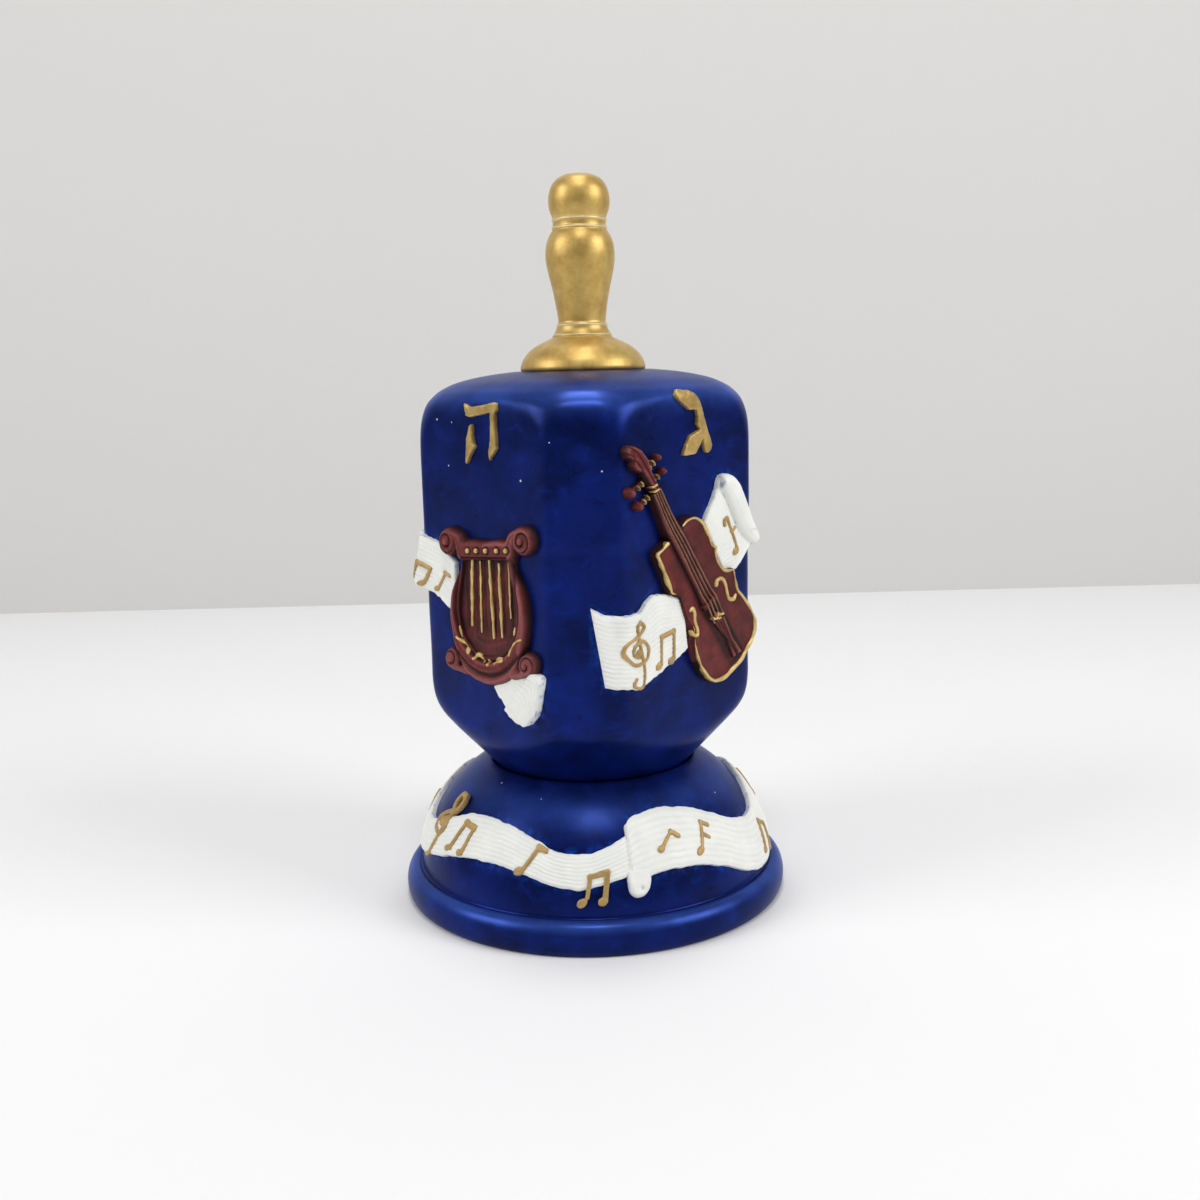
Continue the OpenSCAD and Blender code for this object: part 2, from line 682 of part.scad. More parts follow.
module violin_strings() {
  count = 4;
  color(GOLD) violin_relief(neck_t, neck_t + trim_t) for (i = [0 : count - 1])
    let (f = (i - (count - 1) / 2) / (count - 1))
      line([f * board_w * 0.8, bridge_s + bridge_l / 2], [f * neck_w * 0.8, nut_s - nut_w], violin_string_w);
}

// The right sound hole, across and along the body, from eye to eye
f_hole = [[0.5, 0.53], [0.58, 0.5], [0.6, 0.4], [0.68, 0.36]];
f_hole_w = 0.45;

module violin_f_holes() {
  color(GOLD) violin_relief(violin_t, violin_t + trim_t) for (s = [-1, 1]) {
    path = [for (q = f_hole) [s * q[0] * violin_w / 2, q[1] * violin_l]];
    shape(stroke(open_curve(path), f_hole_w));
    for (q = [path[0], path[len(path) - 1]]) translate(q) circle(f_hole_w * 0.8);
  }
}

module violin_plan() {
  at_violin() {
    polygon(violin_curve());
    violin_board_plan();
    violin_head_plan();
  }
}

// Ribbon that comes off the front chamfer and runs under the violin
violin_lower_at = [-face_edge, violin_z + 6.2];
violin_lower = [[-3.2, 5.8], [-0.6, 4.8], [3.9, 5.4], [6.3, 7.2], [10.9, 6.2], [15.5, 2.6], [15.5, -1],
  [11.9, -3], [6.1, -5], [2.7, -6.4], [-1.8, -5.6], [-2.4, -0.4]];

module violin_ribbon_lower() {
  color(WHITE) difference() {
    wrapped(1, 0, ribbon_t) ribbon_shape(violin_lower_at, violin_lower);
    relief(1, -eps, violin_t + eps) violin_plan();
  }
}

// Ribbon that folds over the far edge beside the violin
violin_upper_at = [face_edge, violin_z + 19];
violin_upper = [[-11.1, 4.4], [-9.5, 7.8], [-7.7, 10], [-5.5, 11], [-2.9, 9.2], [-0.6, 4.4], [1.4, 0.2],
  [1.8, -3.2], [-1.9, -2], [-4.5, -5.2], [-10.5, -5.2]];

module violin_ribbon_upper() {
  color(WHITE) difference() {
    wrapped(1, 0, ribbon_t) ribbon_shape(violin_upper_at, violin_upper);
    relief(1, -eps, violin_t + eps) violin_plan();
  }
}

module violin_notes() {
  color(GOLD) relief(1, ribbon_t, ribbon_t + note_t) {
    on_ribbon(violin_lower_at, [2.4, -4]) scale(1.6) clef();
    on_ribbon(violin_lower_at, [7.6, -3]) rotate(-4) scale(1.2) note_pair();
    on_ribbon(violin_upper_at, [-4.2, -1.6]) rotate(18) scale(1.2) double_quaver();
  }
}

// Horn, drawn along its own axis
horn_bore = 1.8;
horn_gap = 5.2;

module horn_relief(a, b) { relief(2, a, b) translate([0, back_z]) rotate(horn_lean) children(); }

module horn_loop() {
  difference() {
    hull_bar(horn_l * 0.4, horn_gap + horn_bore);
    hull_bar(horn_l * 0.4, horn_gap - horn_bore);
  }
}

// A bar with round ends, its straight part of length l and its width w
module hull_bar(l, w) {
  square([l, w], center = true);
  for (s = [-1, 1]) translate([s * l / 2, 0]) circle(w / 2);
}

bell_root = horn_l * 0.2;

module horn_bell_plan() {
  polygon(concat(
    open_curve([[bell_root, -horn_bore / 2], [horn_l * 0.38, -horn_bore * 0.7],
      [horn_l * 0.46, -horn_bore * 1.3], [horn_l / 2, -horn_bore * 2.2]]),
    open_curve([[horn_l / 2, horn_bore * 2.2], [horn_l * 0.46, horn_bore * 1.3],
      [horn_l * 0.38, horn_bore * 0.7], [bell_root, horn_bore / 2]])));
}

module horn_bell() {
  color(MAROON) horn_relief(0, horn_t) translate([0, -horn_gap / 2]) horn_bell_plan();
}

valve_pitch = 2.4;
valve_w = 1.7;

module horn_valve_plan() {
  for (i = [-1 : 1]) translate([i * valve_pitch, 0]) {
    square([valve_w, horn_gap + 2 * horn_bore], center = true);
    translate([0, horn_gap / 2 + horn_bore + 0.6]) square([valve_w / 2, 1.3], center = true);
  }
}

module horn_tube() {
  color(MAROON) horn_relief(0, horn_t) difference() {
    union() {
      horn_loop();
      line([-horn_l / 2, horn_gap / 2], [0, horn_gap / 2], horn_bore);
      polygon([[-horn_l / 2, horn_gap / 2 - horn_bore], [-horn_l / 2 + 1.4, horn_gap / 2 - horn_bore / 2],
        [-horn_l / 2 + 1.4, horn_gap / 2 + horn_bore / 2], [-horn_l / 2, horn_gap / 2 + horn_bore]]);
    }
    horn_valve_plan();
    translate([0, -horn_gap / 2]) horn_bell_plan();
  }
}

module horn_valves() { color(GOLD) horn_relief(0, horn_t) horn_valve_plan(); }

// Ribbon across a back face, its left end's lower corner at height z
module back_ribbon_shape(z) {
  left = -face_edge - 1.6 * ribbon_unit;
  right = face_edge + 1.4 * ribbon_unit;
  ribbon_shape([0, z], [[left / ribbon_unit, 0], [-8, -2], [0, -1], [8, -3.4], [right / ribbon_unit, -2],
    [right / ribbon_unit, 3], [8, 2.4], [0, 5], [-8, 3.6], [left / ribbon_unit, 6]]);
}

horn_ribbon_z = back_z - 10;

module horn_ribbon() {
  color(WHITE) difference() {
    wrapped(2, 0, ribbon_t) back_ribbon_shape(horn_ribbon_z);
    relief(2, -eps, horn_t + eps) translate([0, back_z]) rotate(horn_lean) {
      horn_loop();
      horn_valve_plan();
      line([-horn_l / 2, horn_gap / 2], [0, horn_gap / 2], horn_bore * 2);
      translate([0, -horn_gap / 2]) horn_bell_plan();
    }
  }
}

module horn_notes() {
  color(GOLD) relief(2, ribbon_t, ribbon_t + note_t) {
    on_ribbon([0, horn_ribbon_z], [6, -2.6]) note_pair();
    on_ribbon([0, horn_ribbon_z], [11, -2]) quaver();
  }
}

// Drum, drawn about its middle
drum_bulge = 1.6;
hoop_h = 1.8;

drum_ribbon_z = back_z - drum_h / 2 - 2;

module drum_relief(a, b) { relief(3, a, b) translate([0, back_z]) children(); }

// A band across the drum between heights a and b, bowed like the drum's ends
module drum_band(a, b) {
  bow = [for (i = [-8 : 8]) let (x = i / 8) [x * drum_w / 2, -drum_bulge * (1 - x * x)]];
  polygon(concat([for (q = bow) q + [0, a]], [for (i = [len(bow) - 1 : -1 : 0]) bow[i] + [0, b]]));
}

module drum_shell() { color(MAROON) drum_relief(0, drum_t) drum_band(-drum_h / 2, drum_h / 2); }

module drum_hoops() {
  color(GOLD) drum_relief(drum_t, drum_t + trim_t) {
    drum_band(-drum_h / 2, -drum_h / 2 + hoop_h);
    drum_band(drum_h / 2 - hoop_h, drum_h / 2);
  }
}

module drum_cords() {
  n = 4;
  step = drum_w / n / 2;
  top = drum_h / 2 - hoop_h - drum_bulge;
  foot = -drum_h / 2 + hoop_h;
  color(GOLD) drum_relief(drum_t, drum_t + trim_t) for (i = [0 : 2 * n - 1])
    line([-drum_w / 2 + i * step, i % 2 == 0 ? foot : top],
      [-drum_w / 2 + (i + 1) * step, i % 2 == 0 ? top : foot], 0.5);
}

module drum_sticks() {
  stick_l = 15;
  stick_w = 1.1;
  color(MAROON) drum_relief(0, ribbon_t) translate([0, drum_h / 2 + 3.4]) for (s = [-1, 1]) rotate(s * 14) {
    line([-stick_l / 2, 0], [stick_l / 2, 0], stick_w);
    translate([s * stick_l / 2, 0]) circle(stick_w);
  }
}

module drum_ribbon() {
  color(WHITE) difference() {
    wrapped(3, 0, ribbon_t) back_ribbon_shape(drum_ribbon_z);
    relief(3, -eps, drum_t + eps) translate([0, back_z]) drum_band(-drum_h / 2, drum_h / 2);
  }
}

module drum_notes() {
  color(GOLD) relief(3, ribbon_t, ribbon_t + note_t) {
    on_ribbon([0, drum_ribbon_z], [-12.4, -0.4]) quaver();
    on_ribbon([0, drum_ribbon_z], [11.2, -2.6]) note_pair();
  }
}

stand();
stand_ribbon();
stand_notes();
spinning_tip();
dreidel_body();
handle();
letter_he();
letter_gimel();
letter_nun();
letter_shin();
lyre_frame();
lyre_board();
lyre_strings();
lyre_pins();
lyre_leaves();
lyre_ribbon_side();
lyre_ribbon_end();
lyre_notes();
violin_body();
violin_binding();
violin_neck();
violin_head();
violin_pegs();
violin_peg_shafts();
violin_nut();
violin_bridge();
violin_tailpiece();
violin_strings();
violin_f_holes();
violin_ribbon_lower();
violin_ribbon_upper();
violin_notes();
horn_tube();
horn_bell();
horn_valves();
horn_ribbon();
horn_notes();
drum_shell();
drum_hoops();
drum_cords();
drum_sticks();
drum_ribbon();
drum_notes();
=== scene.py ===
"""Hand-painted spinning top in its domed stand: the looks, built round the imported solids."""
import math

import bpy
import numpy as np
from mathutils import Matrix


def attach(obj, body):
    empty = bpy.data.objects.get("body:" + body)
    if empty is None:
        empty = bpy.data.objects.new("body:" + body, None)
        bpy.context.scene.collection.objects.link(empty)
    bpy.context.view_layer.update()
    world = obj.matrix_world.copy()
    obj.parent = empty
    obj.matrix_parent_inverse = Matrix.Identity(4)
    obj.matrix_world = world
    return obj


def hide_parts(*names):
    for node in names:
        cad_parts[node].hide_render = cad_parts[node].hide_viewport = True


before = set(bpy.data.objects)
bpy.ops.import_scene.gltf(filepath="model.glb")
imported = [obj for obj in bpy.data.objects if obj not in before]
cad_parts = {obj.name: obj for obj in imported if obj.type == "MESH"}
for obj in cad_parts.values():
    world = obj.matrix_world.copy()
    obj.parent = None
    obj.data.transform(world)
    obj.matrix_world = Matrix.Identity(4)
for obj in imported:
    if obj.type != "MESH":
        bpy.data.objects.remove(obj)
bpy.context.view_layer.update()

MM = 0.001

# Body of the top, in millimetres
HALF = 22.0
CHAMFER_REACH = 36.5 / math.sqrt(2)
EDGE_SOFT = 0.6
CROWN_EDGE_SOFT = 3.6
EDGE_FADE_Z = 71
EDGE_FADE_H = 11
BODY_FOOT = 7.81
FOOT_R = 3.2
BOWL_SLOPE = math.radians(47.5)
TURNED_R = 26.6
BOWL_R = 10.5
SIDE_Z = 37.43
CROWN_POINTS = [(26.6, 70), (26.2, 74), (25.3, 77), (24.3, 78.9), (23.3, 80.3), (22, 81.5), (20.5, 82.6),
                (18, 83.7), (14, 84.6), (9.85, 85.1)]
CROWN_ROUNDNESS = 0.45
SIDE_CROWN_SOFT = 1.2
CHAMFER_CROWN_SOFT = 3.2
CORNER_FROM = 14
CORNER_SPAN = 28
CROWN_FROM_Z = 60
BOWL_SOFT = 1.6
SEAT_Z = 85.1
SHOULDER_Z = 81.6

# Stand, in millimetres
RIM_R = 31.64
RIM_H = 5.2
RIM_BULGE_Z = 2.3
RIM_FOOT_TURN = 1.1
RIM_TOP_TURN = 2.0
DOME_C = (6.75, 2.58)
DOME_ARC = 22.4
DOME_FOOT_R = 29.0
LIP_R = 17.0
LIP_Z = 22.5
SOCKET_Z = 5.66
SOCKET_FOOT_R = 1.55
LEDGE_DIP = [(29.45, -0.06), (29.3, -0.14), (29.15, -0.05)]
DOME_SHEEN_Z = 19.2
FRONT_ANGLE = -44.0
DEGREE_MM = 0.47

SUNK = -0.15
RIBBON_T = 0.9
STRIP_FOOT = -0.2
GROOVE_PITCH = 0.68
GROOVE_DEPTH = 0.09


# Curves and noise
def spline(points, n=8, closed=False):
    """Smooth curve through the points, n steps to a stretch."""
    p = np.asarray(points, float)
    m = len(p)
    stretches = m if closed else m - 1
    i = np.arange(stretches)
    pick = (lambda j: p[j % m]) if closed else (lambda j: p[np.clip(j, 0, m - 1)])
    a, b, c, d = (pick(i + k)[:, None, :] for k in (-1, 0, 1, 2))
    t = (np.arange(n) / n)[None, :, None]
    square, cube = 2 * a - 5 * b + 4 * c - d, 3 * b - a - 3 * c + d
    out = (2 * b + (c - a) * t + square * t ** 2 + cube * t ** 3) / 2
    out = out.reshape(-1, p.shape[1])
    return out if closed else np.vstack([out, p[-1]])


def resample(path, n):
    """n points at even steps along a path."""
    path = np.asarray(path, float)
    s = np.concatenate([[0], np.cumsum(np.linalg.norm(np.diff(path, axis=0), axis=1))])
    t = np.linspace(0, s[-1], n)
    return np.stack([np.interp(t, s, path[:, k]) for k in range(path.shape[1])], 1)


def ripple(seed, *axes):
    """Smooth noise of about -1 to 1 over the given coordinates, whose unit is the size of a ripple."""
    rng = np.random.default_rng(seed)
    total = 0
    for octave in range(5):
        turn = rng.normal(size=len(axes))
        turn *= (1.3 + 0.9 * octave) / np.linalg.norm(turn)
        wave = sum(a * w for a, w in zip(axes, turn)) + rng.uniform(0, 6.28)
        total = total + np.sin(wave) / (1 + 0.5 * octave)
    return total / 2.2


def smooth_min(a, b, k):
    return np.minimum(a, b) - np.maximum(k - np.abs(a - b), 0) ** 2 / (4 * k)


# Outlines as distance fields, negative inside
def polygon_field(x, y, points):
    p = np.asarray(points, float)
    q = np.roll(p, -1, axis=0)
    best = np.full(x.shape, 1e9)
    inside = np.zeros(x.shape, bool)
    for (ax, ay), (bx, by) in zip(p, q):
        ex, ey = bx - ax, by - ay
        wx, wy = x - ax, y - ay
        t = np.clip((wx * ex + wy * ey) / max(ex * ex + ey * ey, 1e-12), 0, 1)
        best = np.minimum(best, (wx - t * ex) ** 2 + (wy - t * ey) ** 2)
        if ay != by:
            inside ^= ((ay > y) != (by > y)) & (x < ax + (y - ay) * ex / ey)
    return np.where(inside, -1, 1) * np.sqrt(best)


def stroke_field(x, y, path, width):
    """Distance to a brush stroke along a path; width is its half width, for all or for each point."""
    p = np.asarray(path, float)
    w = np.broadcast_to(np.asarray(width, float), len(p))
    best = np.full(x.shape, 1e9)
    for i in range(len(p) - 1):
        ex, ey = p[i + 1] - p[i]
        wx, wy = x - p[i, 0], y - p[i, 1]
        t = np.clip((wx * ex + wy * ey) / max(ex * ex + ey * ey, 1e-12), 0, 1)
        best = np.minimum(best, np.hypot(wx - t * ex, wy - t * ey) - (w[i] + t * (w[i + 1] - w[i])))
    return best


def oval_field(x, y, centre, rx, ry, turn=0):
    c, s = math.cos(math.radians(turn)), math.sin(math.radians(turn))
    u, v = (x - centre[0]) * c + (y - centre[1]) * s, -(x - centre[0]) * s + (y - centre[1]) * c
    return (np.hypot(u / rx, v / ry) - 1) * min(rx, ry)


def rounded(depth, radius):
    """Rise of a rounded edge from 0 to 1 as depth goes from the outline to radius."""
    s = np.clip(depth / radius, 0, 1)
    return np.sqrt(np.maximum(1 - (1 - s) ** 2, 0))


def groove(distance, width):
    return np.exp(-(distance / width) ** 2)


def grid(x0, x1, y0, y1, step):
    return np.meshgrid(np.arange(x0, x1 + step, step), np.arange(y0, y1 + step, step))


def grid_round(points, margin, step):
    """A grid over the points and a margin round them."""
    left, low = np.min(points, 0) - margin
    right, top = np.max(points, 0) + margin
    return grid(left, right, low, top, step)


# Meshes
class Shape:
    """Vertices in millimetres, faces in groups of equal length, and named values on the vertices."""

    def __init__(self, points, groups, fields=None):
        self.points = np.asarray(points, float)
        self.groups = [np.asarray(g, int) for g in groups if len(g)]
        self.fields = fields or {}

    def __add__(self, other):
        n = len(self.points)
        fields = {}
        for key in sorted({*self.fields, *other.fields}):
            fields[key] = np.concatenate([s.fields.get(key, np.zeros(len(s.points))) for s in (self, other)])
        groups = self.groups + [g + n for g in other.groups]
        return Shape(np.vstack([self.points, other.points]), groups, fields)


def joined(shapes):
    total = shapes[0]
    for s in shapes[1:]:
        total = total + s
    return total


def mesh_of(name, shape, sharp):
    mesh = bpy.data.meshes.new(name)
    loops = np.concatenate([g.ravel() for g in shape.groups]).astype(np.int32)
    lengths = np.concatenate([np.full(len(g), g.shape[1]) for g in shape.groups])
    starts = np.concatenate([[0], np.cumsum(lengths)[:-1]]).astype(np.int32)
    mesh.vertices.add(len(shape.points))
    mesh.vertices.foreach_set("co", (shape.points * MM).astype(np.float32).ravel())
    mesh.loops.add(len(loops))
    mesh.loops.foreach_set("vertex_index", loops)
    mesh.polygons.add(len(starts))
    mesh.polygons.foreach_set("loop_start", starts)
    mesh.update(calc_edges=True)
    mesh.validate()
    for key, values in shape.fields.items():
        mesh.attributes.new(key, "FLOAT", "POINT").data.foreach_set("value", values.astype(np.float32))
    mesh.polygons.foreach_set("use_smooth", np.ones(len(mesh.polygons), bool))
    mesh.set_sharp_from_angle(angle=math.radians(sharp))
    return mesh


def seat(obj, material, body, slot, nodes):
    """Finishes a piece: its material, its body and the nodes that it stands for; the slot is not used."""
    if material.name not in [m.name for m in obj.data.materials if m]:
        obj.data.materials.append(material)
    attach(obj, body)
    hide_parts(*nodes)


def add_piece(name, shape, finish, body="dreidel", nodes=None, sharp=50):
    obj = bpy.data.objects.new(name, mesh_of(name, shape, sharp))
    bpy.context.scene.collection.objects.link(obj)
    seat(obj, finish[0], body, finish[1], nodes or [name.replace("painted_", "")])


def turned(profile, segments, wobble=0.0):
    """A turned form from its profile of radius and height, from one axis point to the other."""
    p = np.asarray(profile, float)
    a = np.linspace(0, 2 * math.pi, segments, endpoint=False)
    r, z = p[1:-1, :1], p[1:-1, 1:]
    r = r + wobble * ripple(7, 3 * np.cos(a)[None, :], 3 * np.sin(a)[None, :], z / 4)
    pts = np.stack([r * np.cos(a), r * np.sin(a), np.broadcast_to(z, r.shape)], -1)
    return ring_shape(pts, (0, 0, p[0, 1]), (0, 0, p[-1, 1]))


def ring_shape(rings, low, high):
    """Closes rings of points into a skin with a middle point at each end."""
    n, segments = rings.shape[:2]
    i, j = np.meshgrid(np.arange(n - 1), np.arange(segments), indexing="ij")
    k = (j + 1) % segments
    here, above = i * segments, (i + 1) * segments
    quads = np.stack([here + j, here + k, above + k, above + j], -1).reshape(-1, 4)
    j = np.arange(segments)
    k = (j + 1) % segments
    last = (n - 1) * segments
    foot = np.full(segments, n * segments)
    caps = np.vstack([np.stack([foot, k, j], 1), np.stack([foot + 1, last + j, last + k], 1)])
    return Shape(np.vstack([rings.reshape(-1, 3), [low, high]]), [quads, caps])


def relief(x, y, d, top, base, place, **fields):
    """A raised form inside the outline d < 0, from height base up to top, laid on a surface by place."""
    ny, nx = d.shape
    inside = d < 0
    ids = np.full((3, ny, nx), -1)
    grids = {"x": x, "y": y, "h": np.broadcast_to(top, d.shape), "edge": -d, **fields}
    values = {key: [] for key in grids}
    count = 0

    def collect(layer, mask, a, b, t):
        nonlocal count
        ids[layer][mask] = count + np.arange(mask.sum())
        count += mask.sum()
        for key, g in grids.items():
            g = np.broadcast_to(g, d.shape)
            values[key].append(g[a] + t * (g[b] - g[a]))

    i, j = np.nonzero(inside)
    collect(0, inside, (i, j), (i, j), 0)
    for layer, (di, dj) in ((1, (0, 1)), (2, (1, 0))):
        cross = np.zeros_like(inside)
        cross[:ny - di, :nx - dj] = inside[:ny - di, :nx - dj] != inside[di:, dj:]
        i, j = np.nonzero(cross)
        d0, d1 = d[i, j], d[i + di, j + dj]
        collect(layer, cross, (i, j), (i + di, j + dj), np.clip(d0 / (d0 - d1), 0.06, 0.94))
    values = {key: np.concatenate(v) for key, v in values.items()}
    c = [inside[:-1, :-1], inside[:-1, 1:], inside[1:, 1:], inside[1:, :-1]]
    corner = [ids[0][:-1, :-1], ids[0][:-1, 1:], ids[0][1:, 1:], ids[0][1:, :-1]]
    side = [ids[1][:-1, :-1], ids[2][:-1, 1:], ids[1][1:, :-1], ids[2][:-1, :-1]]
    code = sum(m.astype(int) << n for n, m in enumerate(c))
    groups = []
    for case in range(1, 16):
        cells = code == case
        if not cells.any():
            continue
        ring, exits = [], []
        for n in range(4):
            here, there = case >> n & 1, case >> (n + 1) % 4 & 1
            if here:
                ring.append(corner[n][cells])
            if here != there:
                if here:
                    exits.append(len(ring))
                ring.append(side[n][cells])
        face = np.stack(ring, 1)
        groups += [face, face[:, ::-1] + count]
        for e in exits:
            a, b = face[:, e], face[:, (e + 1) % len(ring)]
            groups.append(np.stack([b, a, a + count, b + count], 1))
    u, v, h = (np.concatenate([values[key]] * 2) for key in "xyh")
    h[count:] = base
    kept = {key: np.concatenate([values[key]] * 2) for key in grids if key not in ("x", "y", "h")}
    return Shape(place(u, v, h), groups, kept)


def strip(lower, upper, heights, place, rows=90):
    """A ribbon between two edges of equal point counts; heights gives its rise and its lines."""
    n = len(lower)
    s = np.linspace(0, 1, n)[:, None] * np.ones(rows)
    v = np.ones((n, 1)) * np.linspace(0, 1, rows)
    p = lower[:, None, :] + v[..., None] * (upper - lower)[:, None, :]
    width = np.linalg.norm(upper - lower, axis=1)[:, None]
    ends = np.linalg.norm(np.diff((lower + upper) / 2, axis=0), axis=1).sum()
    edge = np.minimum(np.minimum(v, 1 - v) * width, np.minimum(s, 1 - s) * ends)
    h, dip = heights(s, v, edge, p)
    skin = place(p[..., 0].ravel(), p[..., 1].ravel(), h.ravel())
    feet = place(*np.vstack([lower, upper]).T, np.full(2 * n, STRIP_FOOT))
    k = n * rows
    i, j = np.meshgrid(np.arange(n - 1), np.arange(rows - 1), indexing="ij")
    at = i * rows + j
    quads = np.stack([at, at + rows, at + rows + 1, at + 1], -1).reshape(-1, 4)
    i = np.arange(n - 1)
    low, high = k + i, k + n + i
    walls = [np.stack([i * rows, low, low + 1, (i + 1) * rows], 1),
             np.stack([(i + 1) * rows + rows - 1, high + 1, high, i * rows + rows - 1], 1),
             np.stack([low, high, high + 1, low + 1], 1)]
    first = np.concatenate([np.arange(rows), [k + n, k]])[None]
    last = np.concatenate([np.arange(k - 1, k - rows - 1, -1), [k + n - 1, k + 2 * n - 1]])[None]
    kept = {key: np.append(values, np.zeros(2 * n)) for key, values in (("edge", edge), ("dip", dip))}
    return Shape(np.vstack([skin, feet]), [quads, *walls, first, last], kept)


def lined(v, width, amount):
    """Engraved lines that run along a ribbon, from 0 to 1."""
    lines = max(round(float(np.mean(width)) / GROOVE_PITCH), 3)
    return amount * groove((v * lines) % 1 - 0.5, 0.2)


# Surfaces that carry the reliefs
def octagon_radius(a, z):
    """Radius of the eight-sided form; its upright edges soften towards the crown."""
    soft = EDGE_SOFT + (CROWN_EDGE_SOFT - EDGE_SOFT) * np.clip((z - EDGE_FADE_Z) / EDGE_FADE_H, 0, 1) ** 2
    r = np.full(np.broadcast(a, z).shape, 99.0)
    for i in range(8):
        reach = (CHAMFER_REACH if i % 2 else HALF) / np.maximum(np.cos(a - math.pi / 4 * i), 0.2)
        r = smooth_min(r, reach, soft)
    return r


def body_profile():
    """Radius and height of the turned form, from the foot up to the seat of the handle."""
    turn = math.pi / 2 - BOWL_SLOPE
    cone_end = (TURNED_R - BOWL_R * (1 - math.cos(turn)), SIDE_Z - BOWL_R * math.sin(turn))
    cone = np.linspace((FOOT_R, BODY_FOOT), cone_end, 26)[:-1]
    a = np.linspace(-turn, 0, 24)
    arc = np.stack([TURNED_R - BOWL_R + BOWL_R * np.cos(a), SIDE_Z + BOWL_R * np.sin(a)], 1)
    side = np.linspace((TURNED_R, SIDE_Z), CROWN_POINTS[0], 44)[1:-1]
    return np.vstack([cone, arc, side, spline(CROWN_POINTS, 8)])


PROFILE = body_profile()


def body_radius(a, z, turned_r=None):
    """Radius of the body at an angle from a side's middle and a height."""
    r = octagon_radius(a, z)
    t = np.interp(z, PROFILE[:, 1], PROFILE[:, 0]) if turned_r is None else turned_r
    crown = z > CROWN_FROM_Z
    share = np.where(crown, CROWN_ROUNDNESS + (1 - CROWN_ROUNDNESS) * HALF / r, 1)
    corner = np.clip((np.degrees(np.abs(a)) - CORNER_FROM) / CORNER_SPAN, 0, 1)
    crown_soft = SIDE_CROWN_SOFT + (CHAMFER_CROWN_SOFT - SIDE_CROWN_SOFT) * corner
    return smooth_min(r, t / share, np.where(crown, crown_soft, BOWL_SOFT))


def side_depth(u, v):
    """Distance of the body's surface from its axis, square to a side, at u across and height v."""
    d = np.full(np.shape(u), HALF)
    for _ in range(6):
        r = body_radius(np.arctan2(u, d), v)
        d = np.sqrt(np.maximum(r * r - u * u, 1))
    return d


def on_side(k):
    """Places points over side k: u to the right, v up, h out of the surface."""
    c, s = (round(math.cos(k * math.pi / 2)), round(math.sin(k * math.pi / 2)))
    right, out = np.array([c, s, 0]), np.array([s, -c, 0])

    def place(u, v, h):
        e = 0.05
        d = side_depth(u, v)
        slope_u = (side_depth(u + e, v) - side_depth(u - e, v)) / (2 * e)
        slope_v = (side_depth(u, v + e) - side_depth(u, v - e)) / (2 * e)
        size = np.sqrt(1 + slope_u ** 2 + slope_v ** 2)
        pu, pv, pd = u - h * slope_u / size, v - h * slope_v / size, d + h / size
        return pu[:, None] * right + pd[:, None] * out + pv[:, None] * np.array([0, 0, 1])

    return place


LYRE_FACE, VIOLIN_FACE, HORN_FACE, DRUM_FACE = (on_side(k) for k in range(4))


def on_dome(x, z, h):
    """Places points over the dome: x along it from the front in millimetres, z up, h out of it."""
    a = np.radians(FRONT_ANGLE + np.asarray(x) / DEGREE_MM)
    lift = np.sqrt(np.maximum(DOME_ARC ** 2 - (z - DOME_C[1]) ** 2, 1))
    r = DOME_C[0] + lift + h * lift / DOME_ARC
    return np.stack([r * np.cos(a), r * np.sin(a), z + h * (z - DOME_C[1]) / DOME_ARC], 1)


# Finishes
def srgb(r, g, b):
    """A paint's colour from screen values of 0 to 255."""
    parts = (r / 255, g / 255, b / 255)
    return tuple(c / 12.92 if c <= 0.04045 else ((c + 0.055) / 1.055) ** 2.4 for c in parts) + (1.0,)


class Value:
    """A value in a material; arithmetic on it adds Math nodes."""

    def __init__(self, finish, socket):
        self.finish = finish
        self.socket = socket

    def math(self, operation, first, second):
        return self.finish.node("ShaderNodeMath", {"operation": operation}, {0: first, 1: second})

    def __add__(self, other):
        return self.math("ADD", self, other)

    def __radd__(self, other):
        return self.math("ADD", other, self)

    def __sub__(self, other):
        return self.math("SUBTRACT", self, other)

    def __mul__(self, other):
        return self.math("MULTIPLY", self, other)

    def most(self, other):
        return self.math("MAXIMUM", self, other)

    def between(self, low, high):
        """0 below low and 1 above high, with a soft step between them; low may be the larger."""
        return self.finish.node("ShaderNodeMapRange", {"interpolation_type": "SMOOTHSTEP"},
                                {"Value": self, "From Min": low, "From Max": high})


